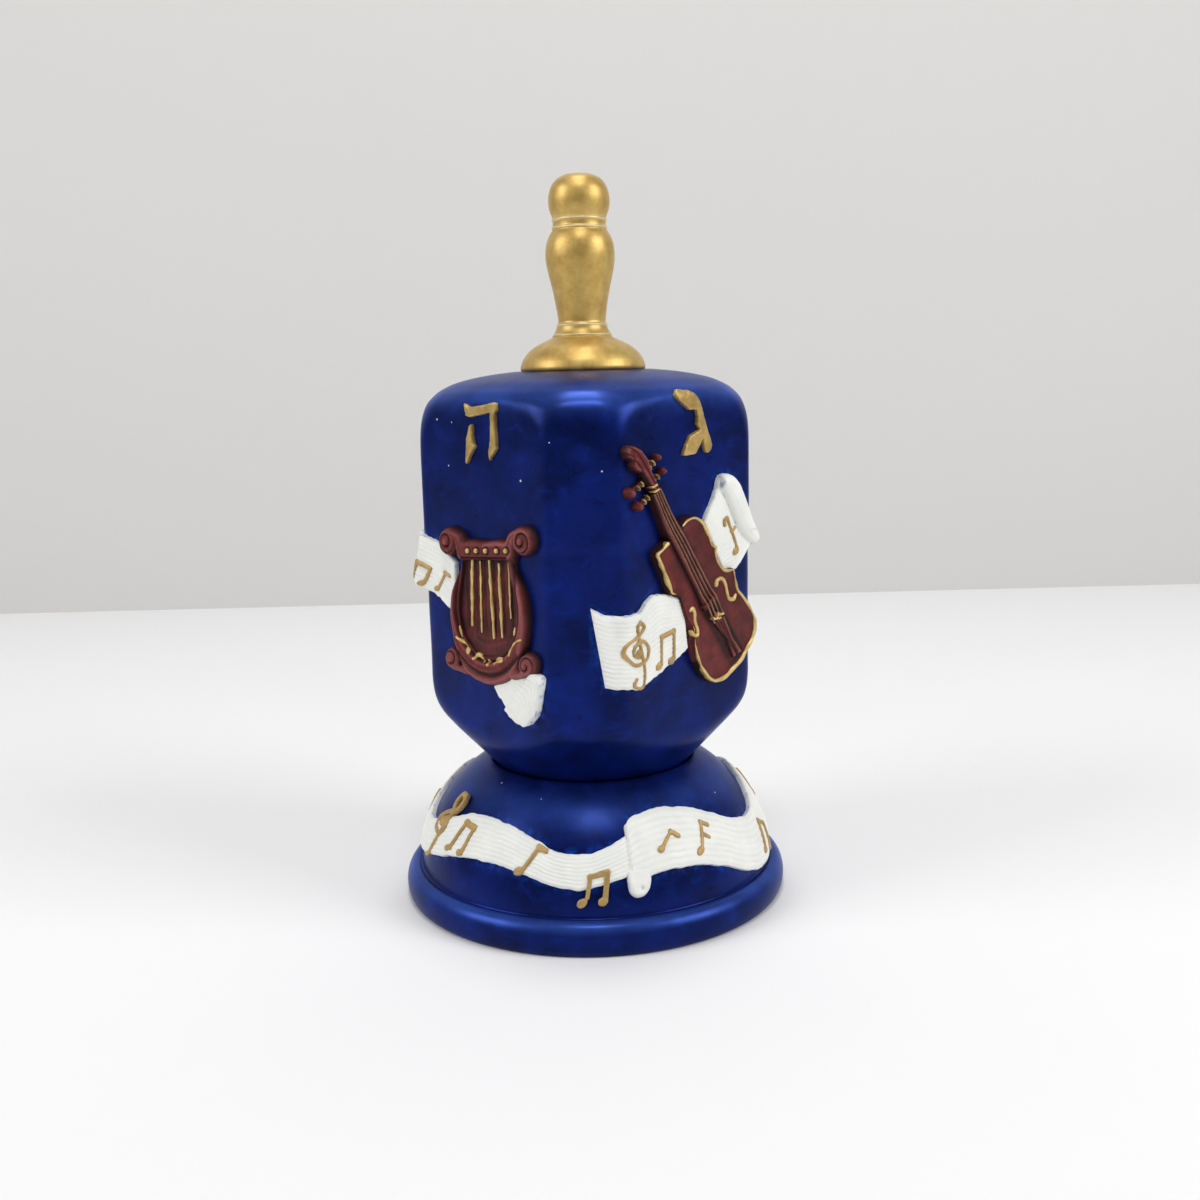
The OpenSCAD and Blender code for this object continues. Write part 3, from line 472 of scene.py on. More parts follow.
class Finish:
    """One painted finish, as a node material."""

    def __init__(self, name):
        self.material = bpy.data.materials.new(name)
        self.material.use_nodes = True
        self.tree = self.material.node_tree
        self.tree.nodes.clear()
        self.shader = self.tree.nodes.new("ShaderNodeBsdfPrincipled")
        out = self.tree.nodes.new("ShaderNodeOutputMaterial")
        self.tree.links.new(self.shader.outputs[0], out.inputs[0])
        self.place = self.node("ShaderNodeTexCoord", out="Object")

    def node(self, kind, settings=None, inputs=None, out=0):
        n = self.tree.nodes.new(kind)
        for key, value in (settings or {}).items():
            setattr(n, key, value)
        for key, value in (inputs or {}).items():
            self.feed(n.inputs[key], value)
        return Value(self, n.outputs[out])

    def feed(self, socket, value):
        if isinstance(value, Value):
            self.tree.links.new(value.socket, socket)
        else:
            socket.default_value = value

    def noise(self, size, stretch=(1, 1, 1), detail=3.0, rough=0.55, warp=0.0):
        """Noise whose spots are about size millimetres across."""
        shrink = tuple(1 / s for s in stretch)
        at = self.node("ShaderNodeVectorMath", {"operation": "MULTIPLY"}, {0: self.place, 1: shrink})
        inputs = {"Scale": 1 / (size * MM), "Detail": detail, "Roughness": rough, "Distortion": warp}
        return self.node("ShaderNodeTexNoise", {}, {"Vector": at, **inputs})

    def attribute(self, name):
        return self.node("ShaderNodeAttribute", {"attribute_name": name}, out="Fac")

    def mix(self, share, a, b):
        n = self.node("ShaderNodeMix", {"data_type": "RGBA"}, {"Factor": share}, out=2)
        self.feed(n.socket.node.inputs[6], a)
        self.feed(n.socket.node.inputs[7], b)
        return n

    def bump(self, height, strength, depth):
        inputs = {"Height": height, "Strength": strength, "Distance": depth * MM}
        return self.node("ShaderNodeBump", {}, inputs)

    def speck(self, points):
        """Dots of stray paint: 1 inside any of the given points, as (x, y, z, radius) in millimetres."""
        total = None
        for x, y, z, r in points:
            gap = self.node("ShaderNodeVectorMath", {"operation": "DISTANCE"},
                            {0: self.place, 1: (x * MM, y * MM, z * MM)}, out="Value")
            dot = gap.between(0.6 * r * MM, 0.35 * r * MM)
            total = dot if total is None else total.most(dot)
        return total

    def shade(self, **sockets):
        for key, value in sockets.items():
            self.feed(self.shader.inputs[key.replace("_", " ")], value)


def blue_paint(name, specks):
    f = Finish(name)
    cloud = f.noise(8, detail=4).between(0.3, 0.72)
    brush = f.noise(2.4, (1.6, 1.6, 1.0), detail=5, rough=0.62, warp=0.6)
    grain = f.noise(0.2, detail=2)
    colour = f.mix(cloud, srgb(8, 19, 70), srgb(12, 32, 108))
    colour = f.mix(brush.between(0.5, 0.8) * 0.4, colour, srgb(20, 52, 158))
    colour = f.mix(brush.between(0.44, 0.28) * 0.45, colour, srgb(6, 14, 50))
    colour = f.mix(grain.between(0.6, 0.75) * 0.25, colour, srgb(34, 62, 150))
    # Painted highlight: lighter blue where the crown's shoulder, the stand's rim and the dome catch the
    # light.
    colour = f.mix(f.attribute("crest") * (0.45 + cloud * 0.35), colour, srgb(54, 84, 172))
    smear = f.attribute("halo") * f.noise(1.6, detail=3).between(0.42, 0.7)
    colour = f.mix(smear * 0.8, colour, srgb(24, 78, 186))
    colour = f.mix(f.speck(specks), colour, srgb(226, 228, 230))
    f.shade(Base_Color=colour, Roughness=0.2 + brush * 0.16 + grain * 0.06,
            Normal=f.bump(brush * 0.6 + grain * 0.3, 0.25, 0.06))
    f.shade(Metallic=0.35, Specular_IOR_Level=0.22, Specular_Tint=(0.4, 0.52, 1.0, 1.0))
    return f.material, "blue_paint"


def gold_paint(name, light, dark, roughness, metal):
    f = Finish(name)
    mottle = f.noise(2.0, detail=4, rough=0.6)
    rub = f.noise(6, (1, 1, 2.2), detail=3)
    grain = f.noise(0.14, detail=3, rough=0.7)
    colour = f.mix(mottle.between(0.2, 0.75), dark, light)
    colour = f.mix(rub.between(0.5, 0.75) * 0.25, colour, dark)
    glint = tuple(min(1.0, 1.3 * c) for c in light)
    colour = f.mix(grain.between(0.54, 0.7) * 0.5, colour, glint)
    # Painted highlight: pale gold where a piece marks it, such as on the handle's ring beads.
    colour = f.mix(f.attribute("crest") * 0.6, colour, srgb(250, 236, 188))
    f.shade(Base_Color=colour, Roughness=roughness + mottle * 0.12 + grain * 0.12 - 0.1,
            Normal=f.bump(mottle * 0.4 + grain * 0.8, 0.35, 0.05))
    f.shade(Metallic=metal, Specular_IOR_Level=0.5, Coat_Weight=0.3, Coat_Roughness=0.36)
    return f.material, "gold_paint"


def maroon_paint(name):
    f = Finish(name)
    cloud = f.noise(2.6, detail=4).between(0.3, 0.7)
    grain = f.noise(0.25, detail=3)
    dip = f.attribute("dip")
    colour = f.mix(cloud, srgb(84, 28, 29), srgb(112, 40, 40))
    # Painted highlight: lighter maroon on raised edges and tops.
    colour = f.mix(f.attribute("crest") * (0.45 + grain * 0.7), colour, srgb(158, 90, 92))
    # Painted shade with a dark wash: darker maroon in grooves, on walls and beside raised parts.
    colour = f.mix(dip, colour, srgb(32, 14, 18))
    f.shade(Base_Color=colour, Roughness=0.36 + grain * 0.14 + dip * 0.15,
            Normal=f.bump(grain * 0.6 + cloud * 0.4, 0.25, 0.05))
    f.shade(Specular_IOR_Level=0.28, Specular_Tint=(1.0, 0.78, 0.74, 1.0))
    return f.material, "maroon_paint"


def white_paint(name):
    f = Finish(name)
    brush = f.noise(0.8, (3, 3, 0.9), detail=4, warp=0.3)
    cloud = f.noise(4, detail=3).between(0.35, 0.7)
    edge = f.attribute("edge")
    colour = f.mix(cloud, srgb(240, 241, 236), srgb(247, 247, 242))
    colour = f.mix(brush.between(0.62, 0.8) * 0.3, colour, srgb(226, 229, 225))
    thin = edge.between(0.22, 0.02) * f.noise(1.2, detail=3).between(0.5, 0.66)
    # Painted shade: grey in the ribbons' engraved lines and hollows.
    colour = f.mix(f.attribute("dip") * 0.22, colour, srgb(190, 196, 196))
    colour = f.mix(thin * 0.6, colour, srgb(116, 150, 206))
    f.shade(Base_Color=colour, Roughness=0.42 + brush * 0.2, Normal=f.bump(brush, 0.25, 0.06))
    f.shade(Specular_IOR_Level=0.45)
    return f.material, "white_paint"


def bare_steel(name):
    f = Finish(name)
    lines = f.noise(0.12, (40, 40, 1), detail=2)
    f.shade(Base_Color=f.mix(lines, srgb(150, 150, 152), srgb(190, 190, 192)), Roughness=0.24 + lines * 0.2)
    f.shade(Metallic=1.0)
    return f.material, "steel"


SIDE_SPECKS = [(-9.8, 78.2, 0.34), (-6.2, 77.8, 0.24), (-7.4, 71.2, 0.26), (9.2, 69.6, 0.36)]
CHAMFER_SPECKS = [(15.0, -21.5, 75.2, 0.24), (20.2, -16.3, 71, 0.26)]
BODY_SPECKS = [(u, -HALF, z, r) for u, z, r in SIDE_SPECKS] + CHAMFER_SPECKS
STAND_SPECKS = [(*on_dome(np.array([x]), np.array([z]), np.array([0.0]))[0], r)
                for x, z, r in ((-23, 21.2, 0.28), (27.6, 18.4, 0.24), (-11, 20.4, 0.18))]

BLUE = blue_paint("brushed_blue", BODY_SPECKS)
STAND_BLUE = blue_paint("brushed_blue_stand", STAND_SPECKS)
GOLD = gold_paint("mottled_gold", srgb(214, 184, 106), srgb(190, 150, 76), 0.44, 0.8)
TRIM_GOLD = gold_paint("brushed_gold_trim", srgb(232, 206, 134), srgb(190, 154, 88), 0.4, 0.55)
LETTER_GOLD = gold_paint("brushed_gold_letters", srgb(206, 176, 104), srgb(160, 126, 66), 0.42, 0.6)
NOTE_GOLD = gold_paint("dull_gold_notes", srgb(196, 164, 100), srgb(158, 126, 72), 0.5, 0.35)
STRING_GOLD = gold_paint("rubbed_gold_strings", srgb(150, 104, 78), srgb(92, 50, 44), 0.5, 0.3)
MAROON = maroon_paint("maroon_wash_and_shade")
WHITE = white_paint("brushed_white")
STEEL = bare_steel("turned_steel")


# Geometry node trees
def node_tree(name, inputs):
    """An empty tree with a geometry input, the given inputs, a material input and a geometry output."""
    tree = bpy.data.node_groups.new(name, "GeometryNodeTree")
    tree.interface.new_socket("Geometry", in_out="INPUT", socket_type="NodeSocketGeometry")
    for label, kind, default in inputs:
        tree.interface.new_socket(label, in_out="INPUT", socket_type=kind).default_value = default
    tree.interface.new_socket("Material", in_out="INPUT", socket_type="NodeSocketMaterial")
    tree.interface.new_socket("Geometry", in_out="OUTPUT", socket_type="NodeSocketGeometry")
    source, sink = tree.nodes.new("NodeGroupInput"), tree.nodes.new("NodeGroupOutput")

    def node(kind, links, **settings):
        n = tree.nodes.new(kind)
        for key, value in settings.items():
            setattr(n, key, value)
        for key, value in links.items():
            if isinstance(value, bpy.types.NodeSocket):
                tree.links.new(value, n.inputs[key])
            else:
                n.inputs[key].default_value = value
        return n

    def close(geometry):
        whole = node("GeometryNodeRealizeInstances", {"Geometry": geometry})
        painted = node("GeometryNodeSetMaterial",
                       {"Geometry": whole.outputs[0], "Material": source.outputs["Material"]})
        tree.links.new(painted.outputs[0], sink.inputs[0])

    return tree, source.outputs, node, close


def cord_tree():
    """Round strings along mesh edges, as thick as their points' radius."""
    inputs = [("Sides", "NodeSocketInt", 10), ("Thickness", "NodeSocketFloat", 1.0)]
    tree, given, node, close = node_tree("strings_along_paths", inputs)
    path = node("GeometryNodeMeshToCurve", {"Mesh": given["Geometry"]})
    ring = node("GeometryNodeCurvePrimitiveCircle",
                {"Resolution": given["Sides"], "Radius": given["Thickness"]})
    girth = node("GeometryNodeInputNamedAttribute", {"Name": "girth"}, data_type="FLOAT")
    sized = node("GeometryNodeSetCurveRadius", {"Curve": path.outputs[0], "Radius": girth.outputs[0]})
    radius = node("GeometryNodeInputRadius", {})
    tube = node("GeometryNodeCurveToMesh", {"Curve": sized.outputs[0], "Profile Curve": ring.outputs[0],
                                            "Scale": radius.outputs[0], "Fill Caps": True})
    smooth = node("GeometryNodeSetShadeSmooth", {"Geometry": tube.outputs[0], "Shade Smooth": True})
    close(smooth.outputs[0])
    return tree


def bead_tree():
    """Beads on points, each as wide as its point's girth."""
    inputs = [("Segments", "NodeSocketInt", 20), ("Flatness", "NodeSocketFloat", 0.8)]
    tree, given, node, close = node_tree("beads_on_points", inputs)
    bead = node("GeometryNodeMeshUVSphere", {"Segments": given["Segments"], "Rings": 12, "Radius": 1.0})
    girth = node("GeometryNodeInputNamedAttribute", {"Name": "girth"}, data_type="FLOAT")
    flat = node("ShaderNodeMath", {0: girth.outputs[0], 1: given["Flatness"]}, operation="MULTIPLY")
    size = node("ShaderNodeCombineXYZ", {"X": girth.outputs[0], "Y": flat.outputs[0], "Z": girth.outputs[0]})
    put = node("GeometryNodeInstanceOnPoints",
               {"Points": given["Geometry"], "Instance": bead.outputs[0], "Scale": size.outputs[0]})
    smooth = node("GeometryNodeSetShadeSmooth", {"Geometry": put.outputs[0], "Shade Smooth": True})
    close(smooth.outputs[0])
    return tree


def grown(name, tree, paths, girths, finish, nodes, body="dreidel", **inputs):
    """Runs a tree over open paths of points in millimetres and keeps the result as a plain piece."""
    points = np.vstack(paths) * MM
    edges, start = [], 0
    for path in paths:
        edges += [(start + i, start + i + 1) for i in range(len(path) - 1)]
        start += len(path)
    mesh = bpy.data.meshes.new(name)
    mesh.from_pydata(points.tolist(), edges, [])
    radii = (np.concatenate(girths) * MM).astype(np.float32)
    mesh.attributes.new("girth", "FLOAT", "POINT").data.foreach_set("value", radii)
    obj = bpy.data.objects.new(name, mesh)
    bpy.context.scene.collection.objects.link(obj)
    modifier = obj.modifiers.new("grow", "NODES")
    modifier.node_group = tree
    given = {**inputs, "Material": finish[0]}
    for item in tree.interface.items_tree:
        if item.in_out == "INPUT" and item.name in given:
            modifier[item.identifier] = given[item.name]
    made = bpy.data.meshes.new_from_object(obj.evaluated_get(bpy.context.evaluated_depsgraph_get()))
    obj.modifiers.clear()
    obj.data = made
    made.name = name
    seat(obj, finish[0], body, finish[1], nodes)


CORDS = cord_tree()
BEADS = bead_tree()


# Ribbon outlines on the sides, as lower and upper edges from left to right
LYRE_SIDE = ([(-17.2, 52.9), (-15.6, 52.3), (-13.6, 51.7), (-11.6, 51.0), (-9.7, 50.1), (-7.8, 49.0),
              (-5.9, 48.0)],
             [(-17.2, 60.4), (-15.4, 60.2), (-13.4, 59.9), (-11.4, 59.5), (-9.4, 58.8), (-7.4, 57.5),
              (-5.9, 56.4)])
LYRE_END = ([(2.2, 38.2), (3.2, 36.7), (4.9, 35.3), (5.8, 34.3), (7.1, 33.6), (8.6, 33.25), (10.2, 33.3)],
            [(5.6, 40.6), (8.0, 41.0), (10.2, 41.3), (12.3, 41.5), (13.3, 40.9), (12.9, 38.6),
             (11.9, 35.0)])
VIOLIN_LOWER = ([(-16.4, 39.7), (-15.2, 39.3), (-13.6, 39.0), (-11.6, 38.9), (-8.4, 40.1), (-4.6, 41.6),
                 (-1.2, 43.1)],
                [(-17.7, 51.2), (-16.0, 50.3), (-14.2, 50.0), (-11.6, 50.3), (-8.7, 52.3), (-5.6, 52.0),
                 (-2.2, 51.2)])
VIOLIN_UPPER = ([(7.4, 53.4), (9.2, 53.8), (10.6, 54.1), (12.4, 56.0), (14.1, 57.7)],
                [(2.7, 62.1), (4.3, 64.3), (5.7, 66.7), (6.5, 68.4), (8.2, 68.6)])
UPPER_PLY = ([(6.2, 66.9), (7.5, 65.2), (9.8, 61.2), (12.0, 58.6), (14.1, 57.4)],
             [(6.6, 68.8), (8.3, 69.0), (10.5, 67.7), (12.9, 63.8), (15.0, 58.8)])
BACK_RIBBON = ([(-16.6, 0.2), (-12, -1.6), (-8, -2), (-3, -1.4), (0, -1), (4, -2.2), (8, -3.4), (12, -3),
                (16.4, -2)],
               [(-16.6, 6), (-12, 4.6), (-8, 3.6), (-3, 4.4), (0, 5), (4, 4), (8, 2.4), (12, 2.4),
                (16.4, 3)])
HORN_RIBBON_Z = 41.8
DRUM_RIBBON_Z = 41.8


def raised(points, dz):
    return [(x, z + dz) for x, z in points]


def outline(ribbon):
    return np.vstack([spline(ribbon[0], 6), spline(ribbon[1], 6)[::-1]])


SIDE_RIBBONS = {0: [LYRE_SIDE, LYRE_END],
                1: [VIOLIN_LOWER, VIOLIN_UPPER, UPPER_PLY],
                2: [tuple(raised(e, HORN_RIBBON_Z) for e in BACK_RIBBON)],
                3: [tuple(raised(e, DRUM_RIBBON_Z) for e in BACK_RIBBON)]}


# Stand ribbon, as degrees from the front and heights
BAND_TOP = [(11, 17.2), (13, 18), (20, 18.7), (27, 18.8), (34, 18.4), (40, 17.8), (47, 16.6), (54, 15.2),
            (60, 14.4), (66, 14), (74, 14.3), (84, 16.2), (94, 17.8), (104, 18.1), (116, 17), (128, 15),
            (138, 14.2), (150, 15), (162, 17), (174, 18), (186, 17.2), (198, 15.2), (210, 14.2), (222, 15),
            (236, 17.2), (246, 17.8), (258, 16.4), (270, 14), (280, 13.2), (288, 13.8), (300, 15.6),
            (310, 17), (320, 17.2), (330, 16.7), (340, 15.5), (345, 14.6), (350, 14.1), (355, 14),
            (360, 14.3), (365, 15), (370, 16), (374, 16.6)]
BAND_LOW = [(11, 9.9), (13, 10.2), (20, 10.9), (27, 11), (34, 10.7), (40, 10), (47, 8.8), (54, 7.2),
            (60, 6.3), (66, 5.9), (74, 6.2), (84, 8.6), (94, 10.6), (104, 11.4), (116, 10.6), (128, 8.6),
            (138, 7.8), (150, 8.6), (162, 10.4), (174, 11.4), (186, 10.8), (198, 8.8), (210, 7.6),
            (222, 8.4), (236, 10.6), (246, 11.2), (258, 10.2), (270, 8.6), (280, 8), (288, 8.5), (300, 9.8),
            (310, 11), (320, 11.6), (330, 11.5), (340, 10.6), (345, 10), (350, 9.5), (355, 9.3), (360, 9.7),
            (365, 10.3), (370, 11), (374, 11.4)]
BAND_FROM = 10.6
BAND_TO = 373.4
BAND_STEPS = 460
LAP_OVER_TO = 14
LAP_UNDER_FROM = 369
TAB_HOLE = (13.6, 9.2)
BAND_TAB = [(9.9, 11.6), (9.7, 9.6), (10.4, 8.4), (12.2, 7.9), (14.6, 8.2), (16.4, 9.3), (16.8, 11), (13, 12)]


def band_edges():
    """The stand ribbon's lower and upper edge, in millimetres along the dome and heights."""
    a = np.linspace(BAND_FROM, BAND_TO, BAND_STEPS)
    edges = []
    for points, seed in ((BAND_LOW, 3), (BAND_TOP, 4)):
        smooth = spline(points, 12)
        z = np.interp(a, smooth[:, 0], smooth[:, 1]) + 0.09 * ripple(seed, a * DEGREE_MM / 1.1)
        edges.append(np.stack([a * DEGREE_MM, z], 1))
    return edges


# Main pieces
HALO_REACH = 1.3


def halo_at(gap):
    """Share of smeared light blue at a gap from a ribbon's outline."""
    return np.clip(1 - gap / HALO_REACH, 0, 1) ** 1.5


def halo_of(u, v, ribbons):
    d = np.full(u.shape, 9.0)
    for r in ribbons:
        d = np.minimum(d, polygon_field(u, v, outline(r)))
    return halo_at(d)


def body_shape():
    segments = 384
    a = np.linspace(0, 2 * math.pi, segments, endpoint=False) + math.pi / segments
    t, z = (column[:, None] * np.ones(segments) for column in PROFILE.T)
    local = (a + math.pi / 4) % (math.pi / 2) - math.pi / 4
    r = body_radius(local[None, :] * np.ones_like(z), z, t)
    # Painted highlight: a lighter band round the crown's shoulder.
    crest = groove(z - SHOULDER_Z, 1.9)
    r = r + 0.03 * ripple(11, r * np.cos(a) / 3, r * np.sin(a) / 3, z / 3)
    pts = np.stack([r * np.cos(a), r * np.sin(a), z], -1)
    halo = np.zeros_like(z)
    for k, ribbons in SIDE_RIBBONS.items():
        turn = k * math.pi / 2 - math.pi / 2
        off = (a - turn + math.pi) % (2 * math.pi) - math.pi
        near = np.abs(off) < math.radians(44)
        across = r * np.sin(off)
        halo[:, near] = np.maximum(halo[:, near], halo_of(across[:, near], z[:, near], ribbons))
    shape = ring_shape(pts, (0, 0, BODY_FOOT), (0, 0, SEAT_Z))
    shape.fields = {"crest": np.append(crest.ravel(), [0, 0]), "halo": np.append(halo.ravel(), [0, 0])}
    return shape


def arc_points(centre, radius, start, end, n):
    a = np.radians(np.linspace(start, end, n))
    return np.stack([centre[0] + radius * np.cos(a), centre[1] + radius * np.sin(a)], 1)


def stand_profile():
    start = math.degrees(math.atan2(RIM_H - DOME_C[1], DOME_FOOT_R - DOME_C[0]))
    end = math.degrees(math.atan2(LIP_Z - DOME_C[1], LIP_R - DOME_C[0]))
    low = RIM_BULGE_Z - 0.1
    foot_turn = arc_points((0, 0), 1, -90, 0, 12) * (RIM_FOOT_TURN, low) + (RIM_R - RIM_FOOT_TURN, low)
    top_size = (RIM_TOP_TURN, RIM_H - RIM_BULGE_Z)
    top_turn = arc_points((0, 0), 1, 0, 90, 18) * top_size + (RIM_R - RIM_TOP_TURN, RIM_BULGE_Z)
    socket = np.linspace((LIP_R - 0.25, LIP_Z - 0.27), (1.7, SOCKET_Z + 0.05), 24)
    return np.vstack([[(0, 0), (20, 0), (29, 0)], foot_turn, top_turn,
                      [(r, RIM_H + dz) for r, dz in LEDGE_DIP],
                      arc_points(DOME_C, DOME_ARC, start + 0.4, end - 1.6, 90),
                      [(LIP_R + 0.12, LIP_Z - 0.22), (LIP_R - 0.06, LIP_Z - 0.16)],
                      socket, [(SOCKET_FOOT_R, SOCKET_Z), (0, SOCKET_Z)]])


def stand_shape():
    shape = turned(stand_profile(), 320, 0.02)
    x, y, z = shape.points.T
    a = (np.degrees(np.arctan2(y, x)) - FRONT_ANGLE - BAND_FROM) % 360 + BAND_FROM
    r = np.hypot(x, y)
    top, low = (np.interp(a, *np.transpose(edge)) for edge in (BAND_TOP, BAND_LOW))
    gap = np.maximum(np.maximum(z - top, low - z), 0)
    on_dome_side = (r > LIP_R + 0.5) & (z > RIM_H)
    # Painted highlight: lighter bands along the rim's top and round the dome at its sheen height.
    rim = groove(z - RIM_H + 0.5, 0.9) * (r > 29.6)
    dome = 0.5 * groove(z - DOME_SHEEN_Z, 2.2) * (r > LIP_R)
    shape.fields = {"halo": np.where(on_dome_side, halo_at(gap), 0), "crest": rim + dome}
    return shape


TENON_POINTS = [(0, 76.2), (2.9, 76.2), (2.98, 76.4), (2.98, 84.9), (6, 84.94)]
FLANGE_POINTS = [(9.0, 84.98), (9.72, 85.08), (9.92, 85.5), (9.8, 86.1), (9.45, 86.9), (8.8, 87.8),
                 (7.9, 88.6), (6.8, 89.25), (5.6, 89.8), (4.8, 90.2)]
NECK_POINTS = [(4.62, 90.4), (4.72, 90.6), (4.55, 90.8), (4.3, 91.1), (4.05, 91.6), (3.98, 92.0),
               (4.02, 92.2), (3.82, 92.4)]
SWELL_POINTS = [(3.72, 92.7), (3.78, 93.4), (4.05, 95.2), (4.45, 97.4), (4.95, 99.6), (5.35, 101.6),
                (5.42, 103.2), (5.2, 104.7), (4.75, 105.8), (4.3, 106.5)]
COLLAR_POINTS = [(4.2, 106.72), (4.34, 106.86), (4.34, 107.02), (4.18, 107.2), (4.14, 107.6), (4.16, 107.9),
                 (4.3, 108.1), (4.3, 108.26), (4.16, 108.42)]
BALL_POINTS = [(4.3, 108.8), (4.62, 109.6), (4.78, 110.6), (4.74, 111.7), (4.4, 113.0), (3.6, 114.15),
               (2.4, 114.85), (1.2, 115.1)]
HANDLE_TOP = [(0, 115.2)]
HANDLE_RINGS = [90.6, 92.15, 106.95, 108.2]
TIP_BALL_Z = 6.61
TIP_BALL_R = 0.8
TIP_SHANK = [(2.3, 7.72), (1.5, 7.76), (1.48, 18.6), (1.4, 18.75), (0, 18.75)]


def handle_shape():
    rings = [spline(p, 7) for p in (FLANGE_POINTS, NECK_POINTS, SWELL_POINTS, COLLAR_POINTS, BALL_POINTS)]
    shape = turned(np.vstack([TENON_POINTS, *rings, HANDLE_TOP]), 160, 0.035)
    z = shape.points[:, 2]
    # Painted highlight along the ring beads.
    shape.fields = {"crest": sum(groove(z - ring, 0.25) for ring in HANDLE_RINGS)}
    return shape


def tip_shape():
    point = arc_points((0, TIP_BALL_Z), TIP_BALL_R, -90, -42.5, 10)
    return turned(np.vstack([point, TIP_SHANK]), 96)


add_piece("painted_dreidel_body", body_shape(), BLUE, sharp=60)
add_piece("painted_stand", stand_shape(), STAND_BLUE, "stand", sharp=60)
add_piece("painted_handle", handle_shape(), GOLD, sharp=60)
add_piece("turned_tip", tip_shape(), STEEL, "tip", ["spinning_tip"])


# Letters
LETTERS = {"letter_he": (0, [[(-2.4, 80.6), (-1.9, 80.4), (-1.2, 80.1), (4.4, 80.75), (4.8, 80.65),
                              (4.85, 79.7), (4.5, 79.3), (3.3, 79.3), (-1.3, 78.6), (-2.1, 78.8)],
                             [(3.5, 79.6), (4.4, 79.5), (4.6, 74.2), (4.0, 73.5), (2.9, 72.4), (2.9, 73.5),
                              (3.4, 76)],
                             [(-0.9, 77.6), (-1.3, 77.5), (-2.2, 75.5), (-2.6, 71.6), (-2.2, 71.9),
                              (-1.5, 73), (-0.9, 73.7), (-0.3, 74.3), (-0.7, 74.8), (-0.9, 76)]]),
           "letter_gimel": (1, [[(-3.0, 81.2), (-2.4, 81.8), (-1.2, 81.7), (0, 81.65), (1.2, 81.2),
                                 (2.1, 80.4), (2.7, 79.3), (3.2, 77.8), (3.9, 76), (4.6, 74.6),
                                 (4.95, 73.6), (4.6, 72.8), (4.0, 72.4), (3.4, 72.6), (3.1, 73.4),
                                 (3.0, 74.6), (2.2, 76.1), (1.6, 76.9), (1.75, 78), (1.5, 78.9), (0.9, 79),
                                 (-0.1, 79), (-0.9, 79.6), (-2.2, 80.3)],
                                [(3.1, 76.4), (1.6, 75.8), (0, 75.2), (-0.9, 73.9), (-1.7, 72.4),
                                 (-0.9, 72.3), (1.2, 72.4), (2.1, 73.6), (3.0, 74.7)]]),
           "letter_nun": (2, [[(-0.2, 79.8), (1.0, 80.6), (3.3, 80.8), (3.5, 79.8), (3.2, 74.2),
                               (2.9, 72.6), (-0.8, 72.3), (-1.4, 72.6), (-0.9, 73.7), (1.9, 74.0),
                               (2.0, 78.9), (0.4, 79.1)]]),
           "letter_shin": (3, [[(-2.9, 80.7), (-1.4, 81.0), (-1.2, 80.2), (-0.5, 74.3), (-0.1, 74.2),
                                (0.3, 80.2), (1.7, 80.5), (1.4, 76.4), (1.1, 74.1), (3.0, 74.0),
                                (3.8, 80.5), (5.2, 80.8), (4.7, 76), (4.1, 73.0), (3.4, 72.3), (-1.3, 72.4),
                                (-1.9, 73.0), (-2.3, 76.4)]])}


def letter_shape(k, outlines):
    points = np.vstack([np.asarray(p) for p in outlines])
    x, y = grid_round(points, 0.5, 0.1)
    d = np.min([polygon_field(x, y, p) for p in outlines], axis=0) + 0.04 * ripple(21 + k, x / 0.5, y / 0.5)
    h = 0.35 + 0.35 * rounded(-d, 0.22) + 0.03 * ripple(5, x / 0.6, y / 0.6)
    return relief(x, y, d, h, SUNK, on_side(k))


for letter_name, drawn_letter in LETTERS.items():
    add_piece("painted_" + letter_name, letter_shape(*drawn_letter), LETTER_GOLD)


# Lyre, drawn about its own middle and then leaned
LYRE_AT = (1.8, 50.0)
LYRE_RISE = math.tan(math.radians(4.5))
LYRE_OUT = [(0, -11.9), (2.4, -11.6), (4.4, -10.9), (6.2, -9.6), (7.4, -7.6), (8.4, -5.0), (9.0, -2.0),
            (8.95, 0.6), (8.3, 3.0), (7.0, 5.0), (6.3, 7.0), (6.2, 8.6), (5.6, 10.2), (3.4, 10.7),
            (0, 10.5)]
LYRE_IN = [(0, -7.3), (2.0, -7.0), (4.0, -5.9), (5.6, -4.2), (6.5, -2.0), (6.7, 0.4), (6.3, 2.8),
           (5.7, 5.0), (5.4, 6.6), (5.1, 7.45), (2.5, 7.5), (0, 7.5)]
UPPER_SCROLL = (8.75, 10.3, 2.3)
LOWER_SCROLL = (8.75, -8.1, 1.95)


def lyre_uv(p, q):
    """Points on the side from the lyre's own: its level lines rise to the right."""
    return LYRE_AT[0] + p, LYRE_AT[1] + LYRE_RISE * p + q


def at_lyre(u, v):
    p = u - LYRE_AT[0]
    return p, v - LYRE_AT[1] - LYRE_RISE * p


def on_lyre(u, v, h):
    return LYRE_FACE(*lyre_uv(u, v), h)


def both_halves(points):
    return spline(points + [(-x, y) for x, y in points[-2:0:-1]], 6, closed=True)


def scroll_relief(p, q, centre, sign, pitch=0.95):
    """Distance, spiral groove and raised eye of a rolled scroll; sign is -1 for the left one of a pair."""
    cx, cy, r = centre
    x, y = sign * p - cx, q - cy
    rho, phi = np.hypot(x, y), np.arctan2(y, x)
    turn = (rho / pitch + phi / (2 * math.pi)) % 1
    fade = np.clip((r - 0.25 - rho) / 0.4, 0, 1) * np.clip((rho - 0.3) / 0.3, 0, 1)
    return rho - r, groove(turn - 0.5, 0.16) * fade, 0.35 * np.clip(1 - (rho / 0.62) ** 2, 0, 1)


LYRE_PINS = [(x, 8.95) for x in (-3.5, -1.5, 0.7, 3.2, 5.3)]


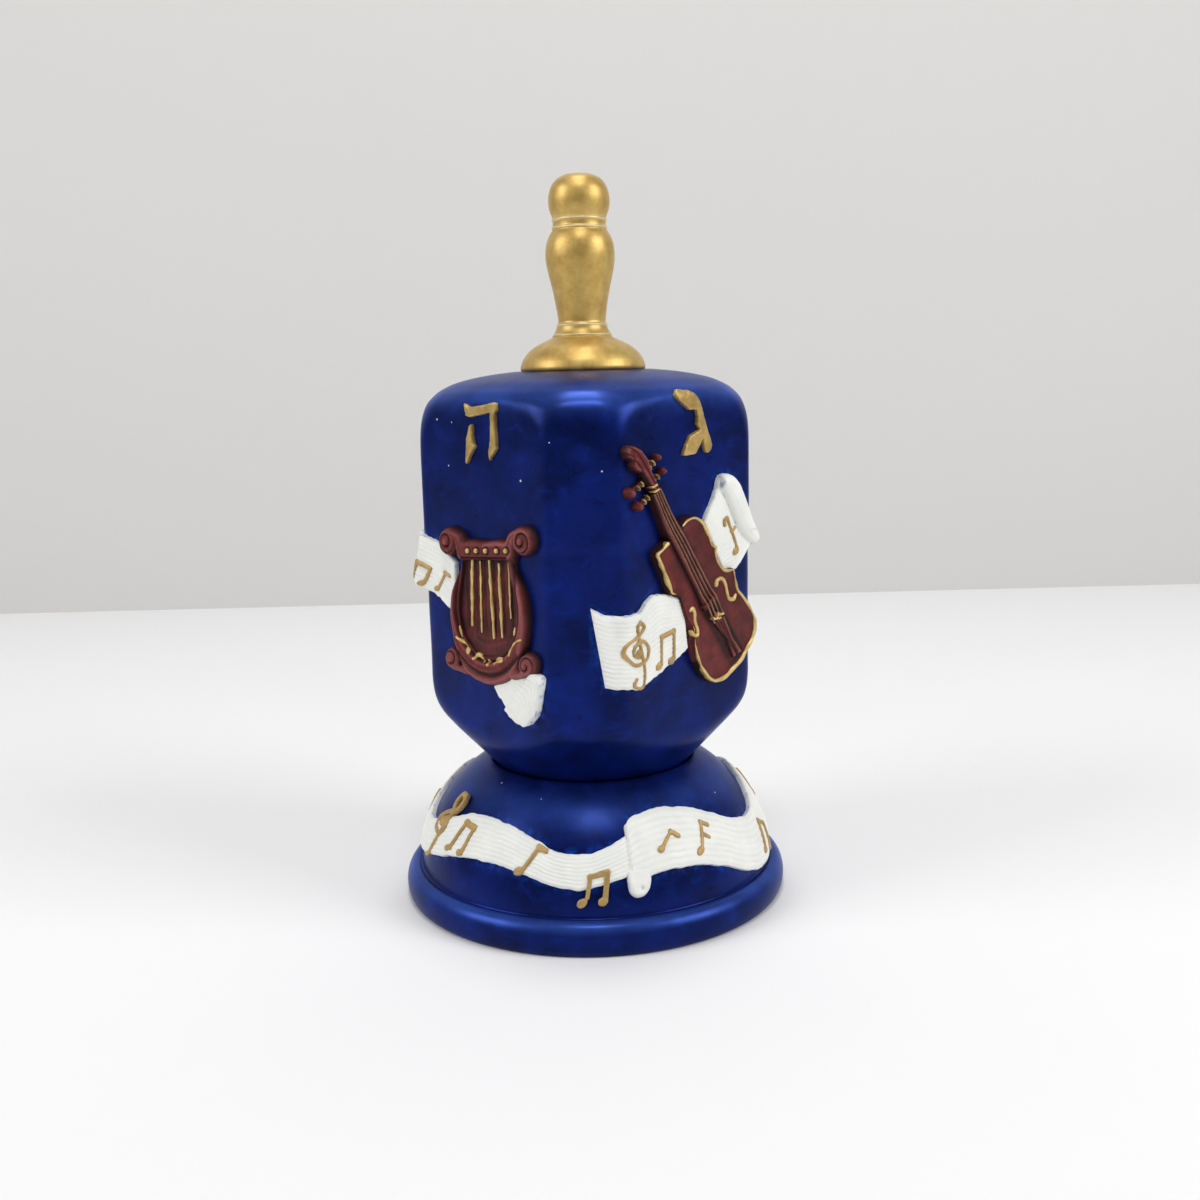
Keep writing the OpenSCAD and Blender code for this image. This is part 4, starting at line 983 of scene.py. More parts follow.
def lyre_frame(p, q):
    """Outline, heights and paint of the lyre's frame at points of its own."""
    body = polygon_field(p, q, both_halves(LYRE_OUT))
    inner = polygon_field(p, q, both_halves(LYRE_IN))
    d = body.copy()
    dip = np.zeros_like(p)
    lift = np.zeros_like(p)
    for centre in (UPPER_SCROLL, LOWER_SCROLL):
        for sign in (1, -1):
            disc, spiral, eye = scroll_relief(p, q, centre, sign)
            if centre is UPPER_SCROLL:
                bend = spline([(sign * 5.4, 8.6), (sign * 6.3, 10.8), (sign * 8.2, 11.7)], 6)
                neck = stroke_field(p, q, bend, np.linspace(1.4, 0.8, len(bend)))
            else:
                neck = stroke_field(p, q, [(sign * 5.6, -9.9), (sign * 8.2, -9.4)], 0.8)
            d = smooth_min(d, smooth_min(disc, neck, 0.5), 0.5)
            # Painted shade round each scroll's disc and in its spiral groove.
            ring = 0.9 * groove(disc + 0.1, 0.22) * (body < 0.5)
            dip = np.maximum(dip, np.maximum(spiral * (disc < 0.3), ring))
            lift = np.maximum(lift, eye + 0.15 * np.clip(-disc / 1.2, 0, 1))
    lower = np.clip((-3.5 - q) / 2.5, 0, 1)
    ledge = np.clip((1.0 - inner) / 0.25, 0, 1) * (q < 7.6)
    dip = np.maximum(dip, 0.75 * groove(inner - 0.75, 0.2) * (q < 7))
    dip = np.maximum(dip, groove(inner - 2.75, 0.3) * lower * (np.abs(p) < 7))
    dip = np.maximum(dip, 0.8 * groove(q - 7.9, 0.16) * (np.abs(p) < 5.4))
    # Painted shadow: a dark ring round each pin, set off to one side.
    for x, y in LYRE_PINS:
        dip = np.maximum(dip, 0.8 * groove(np.hypot(p - x - 0.15, q - y) - 0.45, 0.22))
    h = 0.1 + 1.5 * rounded(-d, 1.0) + lift - 0.4 * ledge - 0.34 * dip + 0.05 * ripple(31, p / 0.9, q / 0.9)
    h = h + 0.16 * np.clip((inner - 1.2) / 0.8, 0, 1) * np.clip((2.5 - inner) / 0.5, 0, 1) * lower
    # Painted shade on the ledge and on the outer walls.
    shade = np.clip(dip + 0.55 * ledge * groove(inner - 0.1, 0.5) + 0.95 * groove(-d, 0.28), 0, 1)
    # Painted highlight on the ridges, stronger on the right half, on the scroll eyes and on the lower bowl.
    crest = groove(-d - 0.75, 0.3) * (0.25 + 0.6 * (p > 0)) + 0.6 * groove(inner - 1.25, 0.2) * (q < 7)
    crest = crest + 0.7 * (lift > 0.3)
    crest = np.maximum(crest, 0.55 * np.clip((inner - 3.1) / 0.5, 0, 1) * lower)
    return np.maximum(d, -inner), h, shade, np.clip(crest, 0, 1)


def lyre_frame_shape():
    p, q = grid(-12.2, 12.2, -12.6, 13.2, 0.1)
    d, h, shade, crest = lyre_frame(p, q)
    return relief(p, q, d, h, SUNK, on_lyre, dip=shade, crest=crest)


def on_lyre_frame(u, v, h):
    """Places points over the lyre's frame at height h above its surface."""
    return LYRE_FACE(u, v, h + lyre_frame(*at_lyre(u, v))[1])


def lyre_board_shape():
    p, q = grid(-7.4, 7.4, -8.2, 8.2, 0.12)
    d = polygon_field(p, q, both_halves(LYRE_IN)) - 0.3
    lines = sum(groove(p - x, 0.22) for x in (-4.9, -2.7, -0.7, 1.5, 3.6, 5.4)) * np.clip((q + 4.5) / 2, 0, 1)
    bowl = np.clip((-q - 3.2) / 3, 0, 1)
    steps = groove((-q - 3.0 + 0.06 * p * p) % 1.1 - 0.5, 0.24) * bowl
    h = 0.75 - 0.2 * lines - 0.12 * steps + 0.2 * bowl + 0.04 * ripple(41, p / 0.5, q / 1.5)
    # Painted shade: the board darker overall, in its lines and under the frame's edge; painted highlight on
    # the steps.
    dip = np.clip(0.42 + 0.35 * lines + 0.5 * groove(d + 0.3, 0.9) + 0.25 * ripple(42, p / 0.8, q / 2), 0, 1)
    return relief(p, q, d, h, SUNK, on_lyre, dip=dip * (1 - 0.3 * bowl), crest=0.3 * steps)


LYRE_STRINGS = [((-1.5, 57.3), (-2.1, 47.0), 0.36),
                ((0.4, 57.2), (0.1, 46.2), 0.24),
                ((2.5, 57.5), (3.0, 45.6), 0.34),
                ((4.7, 57.3), (4.9, 46.0), 0.34),
                ((6.9, 57.6), (7.0, 49.2), 0.2)]


def lyre_strings():
    paths, girths = [], []
    for n, (top, foot, r) in enumerate(LYRE_STRINGS):
        line = resample([top, foot], 40)
        sway = 0.06 * ripple(50 + n, line[:, 1] / 1.6)
        wide = np.clip(0.78 * r * (1 + 0.26 * ripple(60 + n, line[:, 1] / 0.9)), 0.11, 0.4)
        paths.append(LYRE_FACE(line[:, 0] + sway, line[:, 1], np.full(40, 0.86)))
        girths.append(wide * np.sin(np.linspace(0.35, math.pi - 0.3, 40)) ** 0.3)
    grown("gold_lyre_strings", CORDS, paths, girths, TRIM_GOLD, ["lyre_strings"])


def lyre_pins():
    p, q = np.transpose(LYRE_PINS)
    points = on_lyre(p, q, np.full(len(p), 1.55))
    girths = [np.array([0.4])] * len(p)
    grown("gold_lyre_pins", BEADS, list(points[:, None]), girths, TRIM_GOLD, ["lyre_pins"], Flatness=0.9)


LYRE_LEAVES = [([(-4.75, 46.6), (-4.6, 45.9), (-4.3, 45.0)], [0.14, 0.32, 0.16]),
               ([(-5.2, 44.9), (-4.2, 44.4), (-3.3, 43.8), (-2.6, 42.7)], 0.17),
               ([(-1.3, 42.1), (-0.7, 42.65), (0.1, 42.6), (0.9, 41.8)], [0.26, 0.34, 0.32, 0.14]),
               ([(1.95, 41.6), (1.95, 42.1)], 0.28),
               ([(3.6, 42.1), (4.3, 42.6), (5.4, 42.7)], [0.28, 0.42, 0.26]),
               ([(7.1, 43.8), (7.6, 45.0), (8.6, 45.9), (9.7, 46.4)], 0.17),
               ([(8.0, 46.9), (8.25, 47.9)], 0.17)]


def strokes_shape(strokes, place, rise, base, step=0.09, seed=0, soft=0.3):
    """Raised brush strokes, as paths with half widths."""
    made = []
    for n, (path, width) in enumerate(strokes):
        line = spline(path, 6) if len(path) > 2 else np.asarray(path, float)
        w = np.interp(np.linspace(0, 1, len(line)), np.linspace(0, 1, np.size(width)), np.atleast_1d(width))
        x, y = grid_round(line, 1, step)
        d = stroke_field(x, y, line, w) + 0.04 * ripple(seed + n, x / 0.4, y / 0.4)
        made.append(relief(x, y, d, rise[0] + (rise[1] - rise[0]) * rounded(-d, soft), base, place))
    return joined(made)


add_piece("painted_lyre_frame", lyre_frame_shape(), MAROON)
add_piece("painted_lyre_board", lyre_board_shape(), MAROON)
lyre_strings()
lyre_pins()
leaves = strokes_shape(LYRE_LEAVES, on_lyre_frame, (0.0, 0.22), -0.5, seed=70)
add_piece("painted_lyre_leaves", leaves, TRIM_GOLD)


# Ribbons on the sides
def ribbon_rise(v, along, width, edge, lines, seed):
    """Heights and engraved lines of a ribbon; along is the way along it in millimetres."""
    # The lines are also returned to be painted darker, as painted shade in them.
    cut = lined(v, width, lines) * (0.65 + 0.35 * ripple(seed + 1, along / 1.6, v * 4))
    h = RIBBON_T * (0.55 + 0.45 * rounded(edge, 0.5)) - GROOVE_DEPTH * cut
    return h + 0.05 * ripple(seed, along / 2.5, v * 3), cut


def ribbon_shape(k, ribbon, seed, n=110, flare=None, lines=1.0, ragged=0.14):
    low, top = (resample(spline(e, 10), n) for e in ribbon)
    s = np.linspace(0, 1, n)
    length = np.linalg.norm(np.diff(low, axis=0), axis=1).sum()
    for edge, sign, salt in ((low, -1, 0), (top, 1, 1)):
        edge[:, 1] += sign * ragged * ripple(seed + salt, s * length / 0.9)
    width = np.linalg.norm(top - low, axis=1)

    def heights(t, v, edge, p):
        h, cut = ribbon_rise(v, t * length, width, edge, lines, seed + 5)
        return h + (flare(t, v, p) if flare else 0), cut

    return strip(low, top, heights, on_side(k))


EDGE_LIFT_U = -11.0
FOLD_FOOT = (5.6, 36)
FOLD_SLANT = 0.95
CURL_AT = (13.2, 40.4)


def edge_flare(t, v, p):
    """The ribbon stands off the left edge, more at its lower edge."""
    near = np.clip((EDGE_LIFT_U - p[..., 0]) / 3.5, 0, 1)
    return near * near * (1.25 * (1 - v) + 0.1)


def end_fold(t, v, p):
    """The ribbon's end is folded over along a slanting line and rolls at its corner."""
    u, z = p[..., 0], p[..., 1]
    fold = np.clip((u - FOLD_FOOT[0] - FOLD_SLANT * (z - FOLD_FOOT[1])) / 0.5, 0, 1)
    roll = 0.45 * np.exp(-(((u - CURL_AT[0]) / 1.0) ** 2 + ((z - CURL_AT[1]) / 0.8) ** 2))
    return 0.55 * fold * (1 - 0.35 * np.clip((u - 10) / 4, 0, 1)) + roll


def left_roll(t, v, p):
    """The ribbon's left end rolls forward, most at its upper corner."""
    return np.sin(np.clip(1 - t / 0.16, 0, 1) * math.pi / 2) ** 2 * (0.45 + 0.5 * v * v)


def ply_roll(t, v, p):
    """The folded ply is rolled, highest along its middle."""
    return 0.9 * np.sin(np.clip(v, 0, 1) * math.pi) ** 0.8 + 0.2


add_piece("painted_lyre_ribbon_side", ribbon_shape(0, LYRE_SIDE, 101, flare=edge_flare), WHITE)
lyre_end = ribbon_shape(0, LYRE_END, 111, flare=end_fold, lines=0.8, ragged=0.22)
add_piece("painted_lyre_ribbon_end", lyre_end, WHITE)
add_piece("painted_violin_ribbon_lower", ribbon_shape(1, VIOLIN_LOWER, 121, 150, flare=left_roll), WHITE)
upper_ply = ribbon_shape(1, UPPER_PLY, 141, 90, flare=ply_roll, lines=0.3, ragged=0.06)
add_piece("painted_violin_ribbon_upper", ribbon_shape(1, VIOLIN_UPPER, 131) + upper_ply, WHITE)
add_piece("painted_horn_ribbon", ribbon_shape(2, SIDE_RIBBONS[2][0], 151, 190), WHITE)
add_piece("painted_drum_ribbon", ribbon_shape(3, SIDE_RIBBONS[3][0], 161, 190), WHITE)


# Notes, as strokes and oval heads
NOTE_BASE = RIBBON_T - 0.06
NOTE_RISE = 0.32


def note_shape(strokes, heads, place, seed):
    """One note: painted strokes and heads joined in one raised form."""
    lines = [(spline(p, 5) if len(p) > 2 else np.asarray(p, float), w) for p, w in strokes]
    middles = np.array([head[0] for head in heads])
    points = np.vstack([line for line, _ in lines] + [middles - 1, middles + 1])
    x, y = grid_round(points, 0.8, 0.09)
    d = np.full(x.shape, 9.0)
    for line, w in lines:
        d = smooth_min(d, stroke_field(x, y, line, w), 0.15)
    for centre, rx, ry, turn in heads:
        d = smooth_min(d, oval_field(x, y, centre, rx, ry, turn), 0.15)
    d = d + 0.04 * ripple(seed, x / 0.45, y / 0.45)
    return relief(x, y, d, NOTE_BASE + NOTE_RISE * (0.35 + 0.65 * rounded(-d, 0.26)), NOTE_BASE - 0.5, place)


def clef_strokes(x, z, k, w):
    """A treble clef of k millimetres to its ring's radius, about its ring's middle."""
    stem = [(0.35, 1.85), (0.05, 2.1), (-0.12, 1.7), (0.1, 0.9), (0.22, 0.2), (0.36, -0.9),
            (0.42, -1.9), (0.15, -2.55), (-0.4, -2.6), (-0.62, -2.2)]
    loop = [(0.35, 1.85), (0.5, 1.45), (0.1, 1.05), (-0.5, 0.72), (-0.98, 0.1), (-0.7, -0.7),
            (0, -0.98), (0.75, -0.62), (0.92, 0), (0.6, 0.55), (0, 0.62), (-0.4, 0.25), (-0.3, -0.2)]
    return [([(x + k * a, z + k * b) for a, b in path], w) for path in (stem, loop)]


def flat_note(kind, x, z, k, lean=0.0):
    """A plain note k millimetres tall from its head up, as strokes and heads."""
    c, s = math.cos(math.radians(lean)), math.sin(math.radians(lean))

    def turn(points):
        return [(x + k * (a * c - b * s), z + k * (a * s + b * c)) for a, b in points]

    def head(a, b):
        return (turn([(a, b)])[0], 0.19 * k, 0.135 * k, 28 + lean)

    w = 0.062 * k
    if kind == "pair":
        return ([(turn([(-0.1, 0.12), (-0.06, 0.88)]), w), (turn([(0.46, 0.12), (0.5, 0.96)]), w),
                 (turn([(-0.06, 0.85), (0.5, 0.93)]), 0.09 * k)], [head(-0.24, 0.1), head(0.32, 0.1)])
    flags = [([(0.16, 0.95), (0.3, 0.82), (0.42, 0.76)], 0.08 * k)]
    if kind == "double":
        flags.append(([(0.13, 0.68), (0.26, 0.58), (0.36, 0.54)], 0.075 * k))
    return [(turn([(0.1, 0.1), (0.16, 0.95)]), w)] + [(turn(p), q) for p, q in flags], [head(-0.04, 0.1)]


def notes_piece(name, notes, place, body="dreidel"):
    made = [note_shape(*note, place, 200 + n) for n, note in enumerate(notes)]
    add_piece("painted_" + name, joined(made), NOTE_GOLD, body)


LYRE_NOTES = [([([(-14.9, 53.4), (-14.4, 55.9)], 0.26),
                ([(-13.1, 52.6), (-11.9, 54.9)], 0.26),
                ([(-14.5, 55.8), (-11.9, 54.9)], 0.36)],
               [((-15.2, 53.3), 0.5, 0.42, 20), ((-13.5, 52.5), 0.55, 0.42, 20)]),
              ([([(-10.1, 52.0), (-8.1, 54.6)], 0.24), ([(-8.4, 54.7), (-7.2, 54.2)], 0.28)],
               [((-10.5, 51.9), 0.66, 0.42, 10)])]
VIOLIN_CLEF = [([(-11.8, 48.8), (-12.35, 48.2), (-12.1, 46.3), (-11.5, 43.8), (-11.1, 41.7), (-11.3, 39.6),
                 (-12.0, 39.0), (-13.2, 39.6), (-12.7, 40.5)],
                0.24),
               ([(-11.8, 48.8), (-11.0, 48.1), (-11.8, 47.2), (-12.5, 46.7), (-14.1, 45.8), (-14.4, 44.3),
                 (-12.8, 42.6), (-10.7, 43.1), (-10.2, 44.8), (-11.4, 46.0), (-12.9, 45.4), (-13.1, 44.2),
                 (-12.1, 43.7)],
                0.25)]
VIOLIN_NOTES = [(VIOLIN_CLEF, [((-12.2, 44.3), 0.5, 0.5, 0)]),
                ([([(-7.45, 41.8), (-7.35, 46.0)], 0.24),
                  ([(-4.7, 42.3), (-4.6, 46.6)], 0.26),
                  ([(-7.3, 45.9), (-4.6, 46.5)], 0.36)],
                 [((-8.0, 41.6), 0.75, 0.55, 30), ((-5.3, 42.0), 0.7, 0.55, 30)]),
                ([([(10.3, 57.2), (9.2, 59.6), (7.9, 62.2)], 0.25),
                  ([(7.8, 62.2), (7.2, 61.8), (7.3, 61.2)], 0.34),
                  ([(8.8, 60.0), (9.3, 60.2), (9.7, 60.6)], 0.26)],
                 [((9.9, 56.8), 0.75, 0.55, 30)])]
HORN_NOTES = [flat_note("pair", 6.6, HORN_RIBBON_Z - 2.5, 4.6, -6),
              flat_note("quaver", 11.4, HORN_RIBBON_Z - 2.2, 4.2, 4)]
DRUM_NOTES = [flat_note("quaver", -12.6, DRUM_RIBBON_Z - 0.2, 4.6, -8),
              flat_note("pair", 11.2, DRUM_RIBBON_Z - 2.4, 4.6, 4)]


def lyre_note_place(u, v, h):
    """Notes on the side ribbon follow its flare at the edge."""
    low, top = 52.5, 60.0
    p = np.stack([u, v], -1)
    return LYRE_FACE(u, v, h + edge_flare(0, np.clip((v - low) / (top - low), 0, 1), p))


notes_piece("lyre_notes", LYRE_NOTES, lyre_note_place)
notes_piece("violin_notes", VIOLIN_NOTES, VIOLIN_FACE)
notes_piece("horn_notes", HORN_NOTES, HORN_FACE)
notes_piece("drum_notes", DRUM_NOTES, DRUM_FACE)


# Violin, its outline and parts on the second side
VIOLIN_OUT = [(-9.45, 58.5), (-8.75, 57), (-7.85, 55.2), (-6.85, 53.3), (-6.3, 52.1), (-4.6, 51.6),
              (-3.9, 50.3), (-3.3, 48.8), (-2.6, 47.4), (-1.75, 46.4), (-1.5, 44.6), (-1.4, 43.4),
              (-0.75, 41.5), (-0.05, 40), (1.05, 38.6), (2.45, 37.4), (3.95, 36.9), (5.95, 37.2),
              (7.95, 38.2), (9.95, 39.3), (11.25, 40.7), (12.65, 42.2), (13.35, 43.8), (13.35, 45.5),
              (12.65, 47), (11.45, 48.6), (10.25, 49.9), (9.15, 51), (8.75, 52.2), (8.45, 53.3),
              (8.05, 54.3), (6.65, 54.4), (5.45, 54.8), (4.65, 55.6), (4.05, 56.8), (3.95, 57.7),
              (4.1, 58.3), (3.05, 58.7), (2.65, 59.9), (1.85, 61), (1.25, 62), (0.25, 62.8), (-1.05, 63.3),
              (-2.55, 63.1), (-3.75, 62.4), (-5.2, 61.2), (-6.75, 60.2), (-8.05, 59.4)]
VIOLIN_FOOT = (9.75, 39.0)
VIOLIN_UP = (-0.573, 0.819)
VIOLIN_ACROSS = (0.819, 0.573)
PLATE_H = 1.3
PLATE_SHIFT = (0.78, 0)


def violin_uv(points):
    """Points across and along the violin, as points on the side."""
    t, s = np.asarray(points, float).T
    return np.stack([VIOLIN_FOOT[0] + s * VIOLIN_UP[0] + t * VIOLIN_ACROSS[0],
                     VIOLIN_FOOT[1] + s * VIOLIN_UP[1] + t * VIOLIN_ACROSS[1]], 1)


def at_violin(u, v):
    x, y = u - VIOLIN_FOOT[0], v - VIOLIN_FOOT[1]
    return x * VIOLIN_ACROSS[0] + y * VIOLIN_ACROSS[1], x * VIOLIN_UP[0] + y * VIOLIN_UP[1]


FINGERBOARD = [(-1.1, 12.6), (2.0, 11.8), (2.2, 27.3), (2.35, 33.6), (0.7, 34.0), (-0.4, 27.7), (-0.7, 16.5)]
HEAD = [(2.3, 33.6), (2.45, 37.0), (2.9, 38.6), (2.6, 40.7), (1.8, 42.0), (0.9, 42.6), (0.2, 42.2),
        (0.0, 41.3), (0.5, 40.3), (0.0, 39.8), (0.1, 38.9), (0.9, 37.9), (1.0, 35.8), (1.0, 34.1)]
TAILPIECE = [(-0.6, 9.8), (1.8, 8.8), (1.3, 4.6), (1.7, 1.2), (-0.4, 1.8), (0.2, 5.2)]
BRIDGE_BAR = [(-1.2, 13.5), (1.5, 13.2)]
PEGS = [(-2.1, 34.1), (-2.3, 36.7), (4.8, 35.0), (5.1, 37.3)]
PEG_SIZES = [(0.94, 0.74), (0.96, 0.8), (0.7, 0.6), (0.66, 0.58)]
PEG_NECK = (0.9, 2.4)
PEG_RINGS = [(-0.2, 33.8), (0.0, 36.2), (3.2, 34.9), (3.6, 37.1)]
NECK_MIDDLE = ([9, 12, 27, 34, 38], [0.5, 0.5, 0.9, 1.5, 1.5])


def violin_outline():
    return spline(np.asarray(VIOLIN_OUT) + PLATE_SHIFT, 5, closed=True)


def violin_body_shape():
    x, y = grid(-11, 14.8, 35.6, 64.6, 0.1)
    d = polygon_field(x, y, violin_outline())
    t, s = at_violin(x, y)
    ribs = 0.2 + 0.5 * np.clip((0.14 - d) / 0.06, 0, 1) + 0.35 * np.clip((0.06 - d) / 0.06, 0, 1)
    ribs = ribs + 0.25 * np.clip((0.0 - d) / 0.08, 0, 1)
    middle = np.interp(s, *NECK_MIDDLE)
    board = np.maximum(np.abs(t - middle) - 1.6, 1 - s)
    h = np.minimum(ribs, PLATE_H) + 0.16 * np.clip(1 + d / 1.4, 0, 1) * (d < -0.05) + 0.03 * ripple(80, x, y)
    left = np.clip(middle - t, 0, 1)
    # Painted shadow beside the fingerboard, wider on its left; painted shade on the outline's walls and over
    # the plate.
    dip = 0.8 * groove(np.maximum(board, 0), 0.3 + 0.3 * left) * (d < 0)
    dip = dip + 0.95 * np.clip((d + 0.14) / 0.1, 0, 1)
    dip = dip + (0.3 - 0.28 * left + 0.14 * ripple(81, x / 1.5, y / 1.5)) * (d < -0.3)
    # Painted highlight on the waist's edge and its lighter walls.
    waist = (s < 16) * (s > 7) * (t < middle)
    crest = 0.9 * groove(d - 0.08, 0.05) * waist
    dip = np.clip(dip - 0.5 * waist * (d > -0.05), 0, 1)
    return relief(x, y, d - 0.14, h, SUNK, VIOLIN_FACE, dip=dip, crest=crest)


def violin_binding_shape():
    x, y = grid(-10.6, 14.4, 36.2, 64, 0.08)
    d = polygon_field(x, y, violin_outline())
    t, s = at_violin(x, y)
    board = np.abs(t - np.interp(s, *NECK_MIDDLE)) - 1.8
    wide = 0.21 + 0.12 * ripple(90, x / 1.3, y / 1.3)
    wide = wide - 0.3 * np.clip((x + 5.0) / 1, 0, 1) * np.clip((-0.2 - x) / 1, 0, 1) * (s < 24)
    wide = wide + 0.14 * np.clip((3.5 - s) / 2, 0, 1)
    ring = np.abs(d + 0.26) - wide
    h = PLATE_H + 0.04 + 0.3 * rounded(-ring, 0.22)
    return relief(x, y, np.maximum(ring, np.where(s > 12, 0.1 - board, -9)), h, 0.8, VIOLIN_FACE)


def slab_shape(points, seed, base, height, edge=0.35, lines=()):
    """A raised part of the violin from its outline across and along it, with engraved lines."""
    p = violin_uv(points)
    x, y = grid_round(p, 0.6, 0.09)
    d = polygon_field(x, y, p) - 0.1
    t, s = at_violin(x, y)
    cuts = sum((groove(t - line(s), 0.13) for line in lines), np.zeros_like(x))
    low = base(s) if callable(base) else base
    h = low + height * (0.25 + 0.75 * rounded(-d, edge)) - 0.22 * cuts
    h = h + 0.03 * ripple(seed, x / 0.6, y / 0.6)
    # Painted shade in the engraved lines and at the outline; painted highlight just inside the edge.
    dip = np.clip(0.8 * cuts + 0.9 * groove(-d, 0.14), 0, 1)
    crest = np.clip(0.6 * groove(-d - 0.4, 0.2) * (1 - dip), 0, 1)
    return relief(x, y, d, h, SUNK, VIOLIN_FACE, dip=dip, crest=crest)


def line_through(s_values, t_values):
    """A line along the violin, given by places along and across it."""
    return lambda s: np.interp(s, s_values, t_values)


def neck_line(share):
    return lambda s: np.interp(s, *NECK_MIDDLE) + share * np.interp(s, [9, 35], [2.6, 1.5])


def violin_neck_shape():
    rise = line_through([0, 25, 29, 40], [1.2, 1.2, 0.85, 0.85])
    return slab_shape(FINGERBOARD, 91, rise, 0.7, lines=[neck_line(share) for share in (-0.33, 0.0, 0.33)])


def violin_head_shape():
    along = [34, 38, 41, 43]
    lines = [line_through(along, [1.15, 0.95, 0.6, -0.4]), line_through(along, [1.85, 1.8, 1.6, 0.6])]
    return slab_shape(HEAD, 92, 0.15, 1.5, 0.5, lines)


def violin_tailpiece_shape():
    lines = [lambda s: 0.5 + 0 * s, lambda s: -0.05 + 0.06 * (9 - s), lambda s: 1.05 - 0.06 * (9 - s)]
    tail = slab_shape(TAILPIECE, 93, 1.1, 0.7, 0.45, lines)
    bar = strokes_shape([(violin_uv(BRIDGE_BAR), 0.26)], VIOLIN_FACE, (1.5, 2.3), 0.9, seed=94)
    return tail + bar


def violin_pegs_shape():
    """Four peg heads, each with a dark shaft that runs to the neck."""
    made = []
    for n, ((t, s), (wide, narrow)) in enumerate(zip(PEGS, PEG_SIZES)):
        head, neck = violin_uv([(t, s), (PEG_NECK[t > 0], s - 0.25)])
        x, y = grid_round([head], 1.6, 0.09)
        d = oval_field(x, y, head, wide, narrow, 145 + 12 * n) + 0.05 * ripple(95 + n, x, y)
        # Painted shade round each peg head's edge and painted highlight on its top; the shaft is painted
        # dark.
        made.append(relief(x, y, d, 0.2 + 1.3 * rounded(-d, 0.75), SUNK, VIOLIN_FACE,
                           dip=0.5 * groove(-d, 0.2), crest=np.clip(-d / 0.8, 0, 1) ** 2 * 0.6))
        line = np.stack([head, neck])
        x, y = grid_round(line, 0.6, 0.09)
        d = stroke_field(x, y, line, 0.32)
        made.append(relief(x, y, d, 0.15 + 0.5 * rounded(-d, 0.3), SUNK, VIOLIN_FACE, dip=0.75))
    return joined(made)


def peg_shaft_strokes():
    """Two short gold bands across each peg's shaft."""
    strokes = []
    for t, s in PEG_RINGS:
        for shift in (-0.46, 0.46):
            bow = [(t + shift - 0.06, s - 0.36), (t + shift + 0.09, s), (t + shift - 0.06, s + 0.36)]
            strokes.append((violin_uv(bow), 0.13))
    return strokes


VIOLIN_F_HOLES = [([(4.2, 52.3), (4.5, 52.9), (5.5, 53.1), (6.35, 52.2), (6.8, 50.75), (7.3, 49.65),
                    (8.4, 49.5), (8.85, 50.1)],
                   [0.42, 0.34, 0.3, 0.3, 0.26, 0.3, 0.36, 0.2]),
                  ([(-1.8, 49.1), (-1.25, 49.35), (-0.85, 48.6), (-0.8, 47.3), (-0.25, 46.0), (-0.3, 45.1),
                    (-1.1, 45.3), (-1.5, 45.9)],
                   [0.22, 0.34, 0.32, 0.3, 0.3, 0.32, 0.3, 0.16])]
VIOLIN_BRIDGE = [(violin_uv([(-0.5, 10.4), (0.1, 9.9), (0.6, 10.2)]), 0.24),
                 (violin_uv([(0.7, 10.4), (1.1, 9.8), (1.6, 9.5)]), 0.24),
                 (violin_uv([(0.3, 9.6), (0.8, 9.4)]), 0.2)]


def violin_strings():
    paths, girths = [], []
    for f in (-0.5, -0.17, 0.17, 0.5):
        s = np.linspace(9.6, 34.0, 60)
        line = violin_uv(np.stack([np.interp(s, *NECK_MIDDLE) + f * np.linspace(2.4, 1.4, 60), s], 1))
        h = np.interp(s, [9.6, 13.3, 15, 25, 29, 34], [1.8, 2.25, 1.92, 1.92, 1.57, 1.57])
        paths.append(VIOLIN_FACE(line[:, 0], line[:, 1], h))
        girths.append(0.15 * (1 + 0.25 * ripple(300 + int(10 * f), s / 1.2)))
    grown("rubbed_violin_strings", CORDS, paths, girths, STRING_GOLD, ["violin_strings"], Sides=8)


VIOLIN_NUT = [(violin_uv([(1.0, 34.3), (1.95, 34.0)]), 0.17), (violin_uv([(1.05, 35.1), (2.0, 34.8)]), 0.15)]
F_HOLE_SHIFT = 0.44
F_HOLES = [([(x + F_HOLE_SHIFT, z) for x, z in p], w) for p, w in VIOLIN_F_HOLES]
VIOLIN_TRIM = [("peg_shafts", peg_shaft_strokes(), (0.5, 0.95), -0.1, 0.06, 310),
               ("nut", VIOLIN_NUT, (1.55, 1.85), 0.6, 0.09, 330),
               ("bridge", VIOLIN_BRIDGE, (1.8, 2.15), 1.1, 0.09, 340),
               ("f_holes", F_HOLES, (1.3, 1.6), 0.8, 0.09, 350)]

add_piece("painted_violin_body", violin_body_shape(), MAROON)
add_piece("painted_violin_binding", violin_binding_shape(), TRIM_GOLD)
add_piece("painted_violin_neck", violin_neck_shape(), MAROON)
add_piece("painted_violin_head", violin_head_shape(), MAROON)
add_piece("painted_violin_tailpiece", violin_tailpiece_shape(), MAROON)
add_piece("painted_violin_pegs", violin_pegs_shape(), MAROON)
for trim_name, trim_strokes, trim_rise, trim_base, trim_step, trim_seed in VIOLIN_TRIM:
    trim = strokes_shape(trim_strokes, VIOLIN_FACE, trim_rise, trim_base, trim_step, trim_seed)
    add_piece("painted_violin_" + trim_name, trim, TRIM_GOLD)
violin_strings()


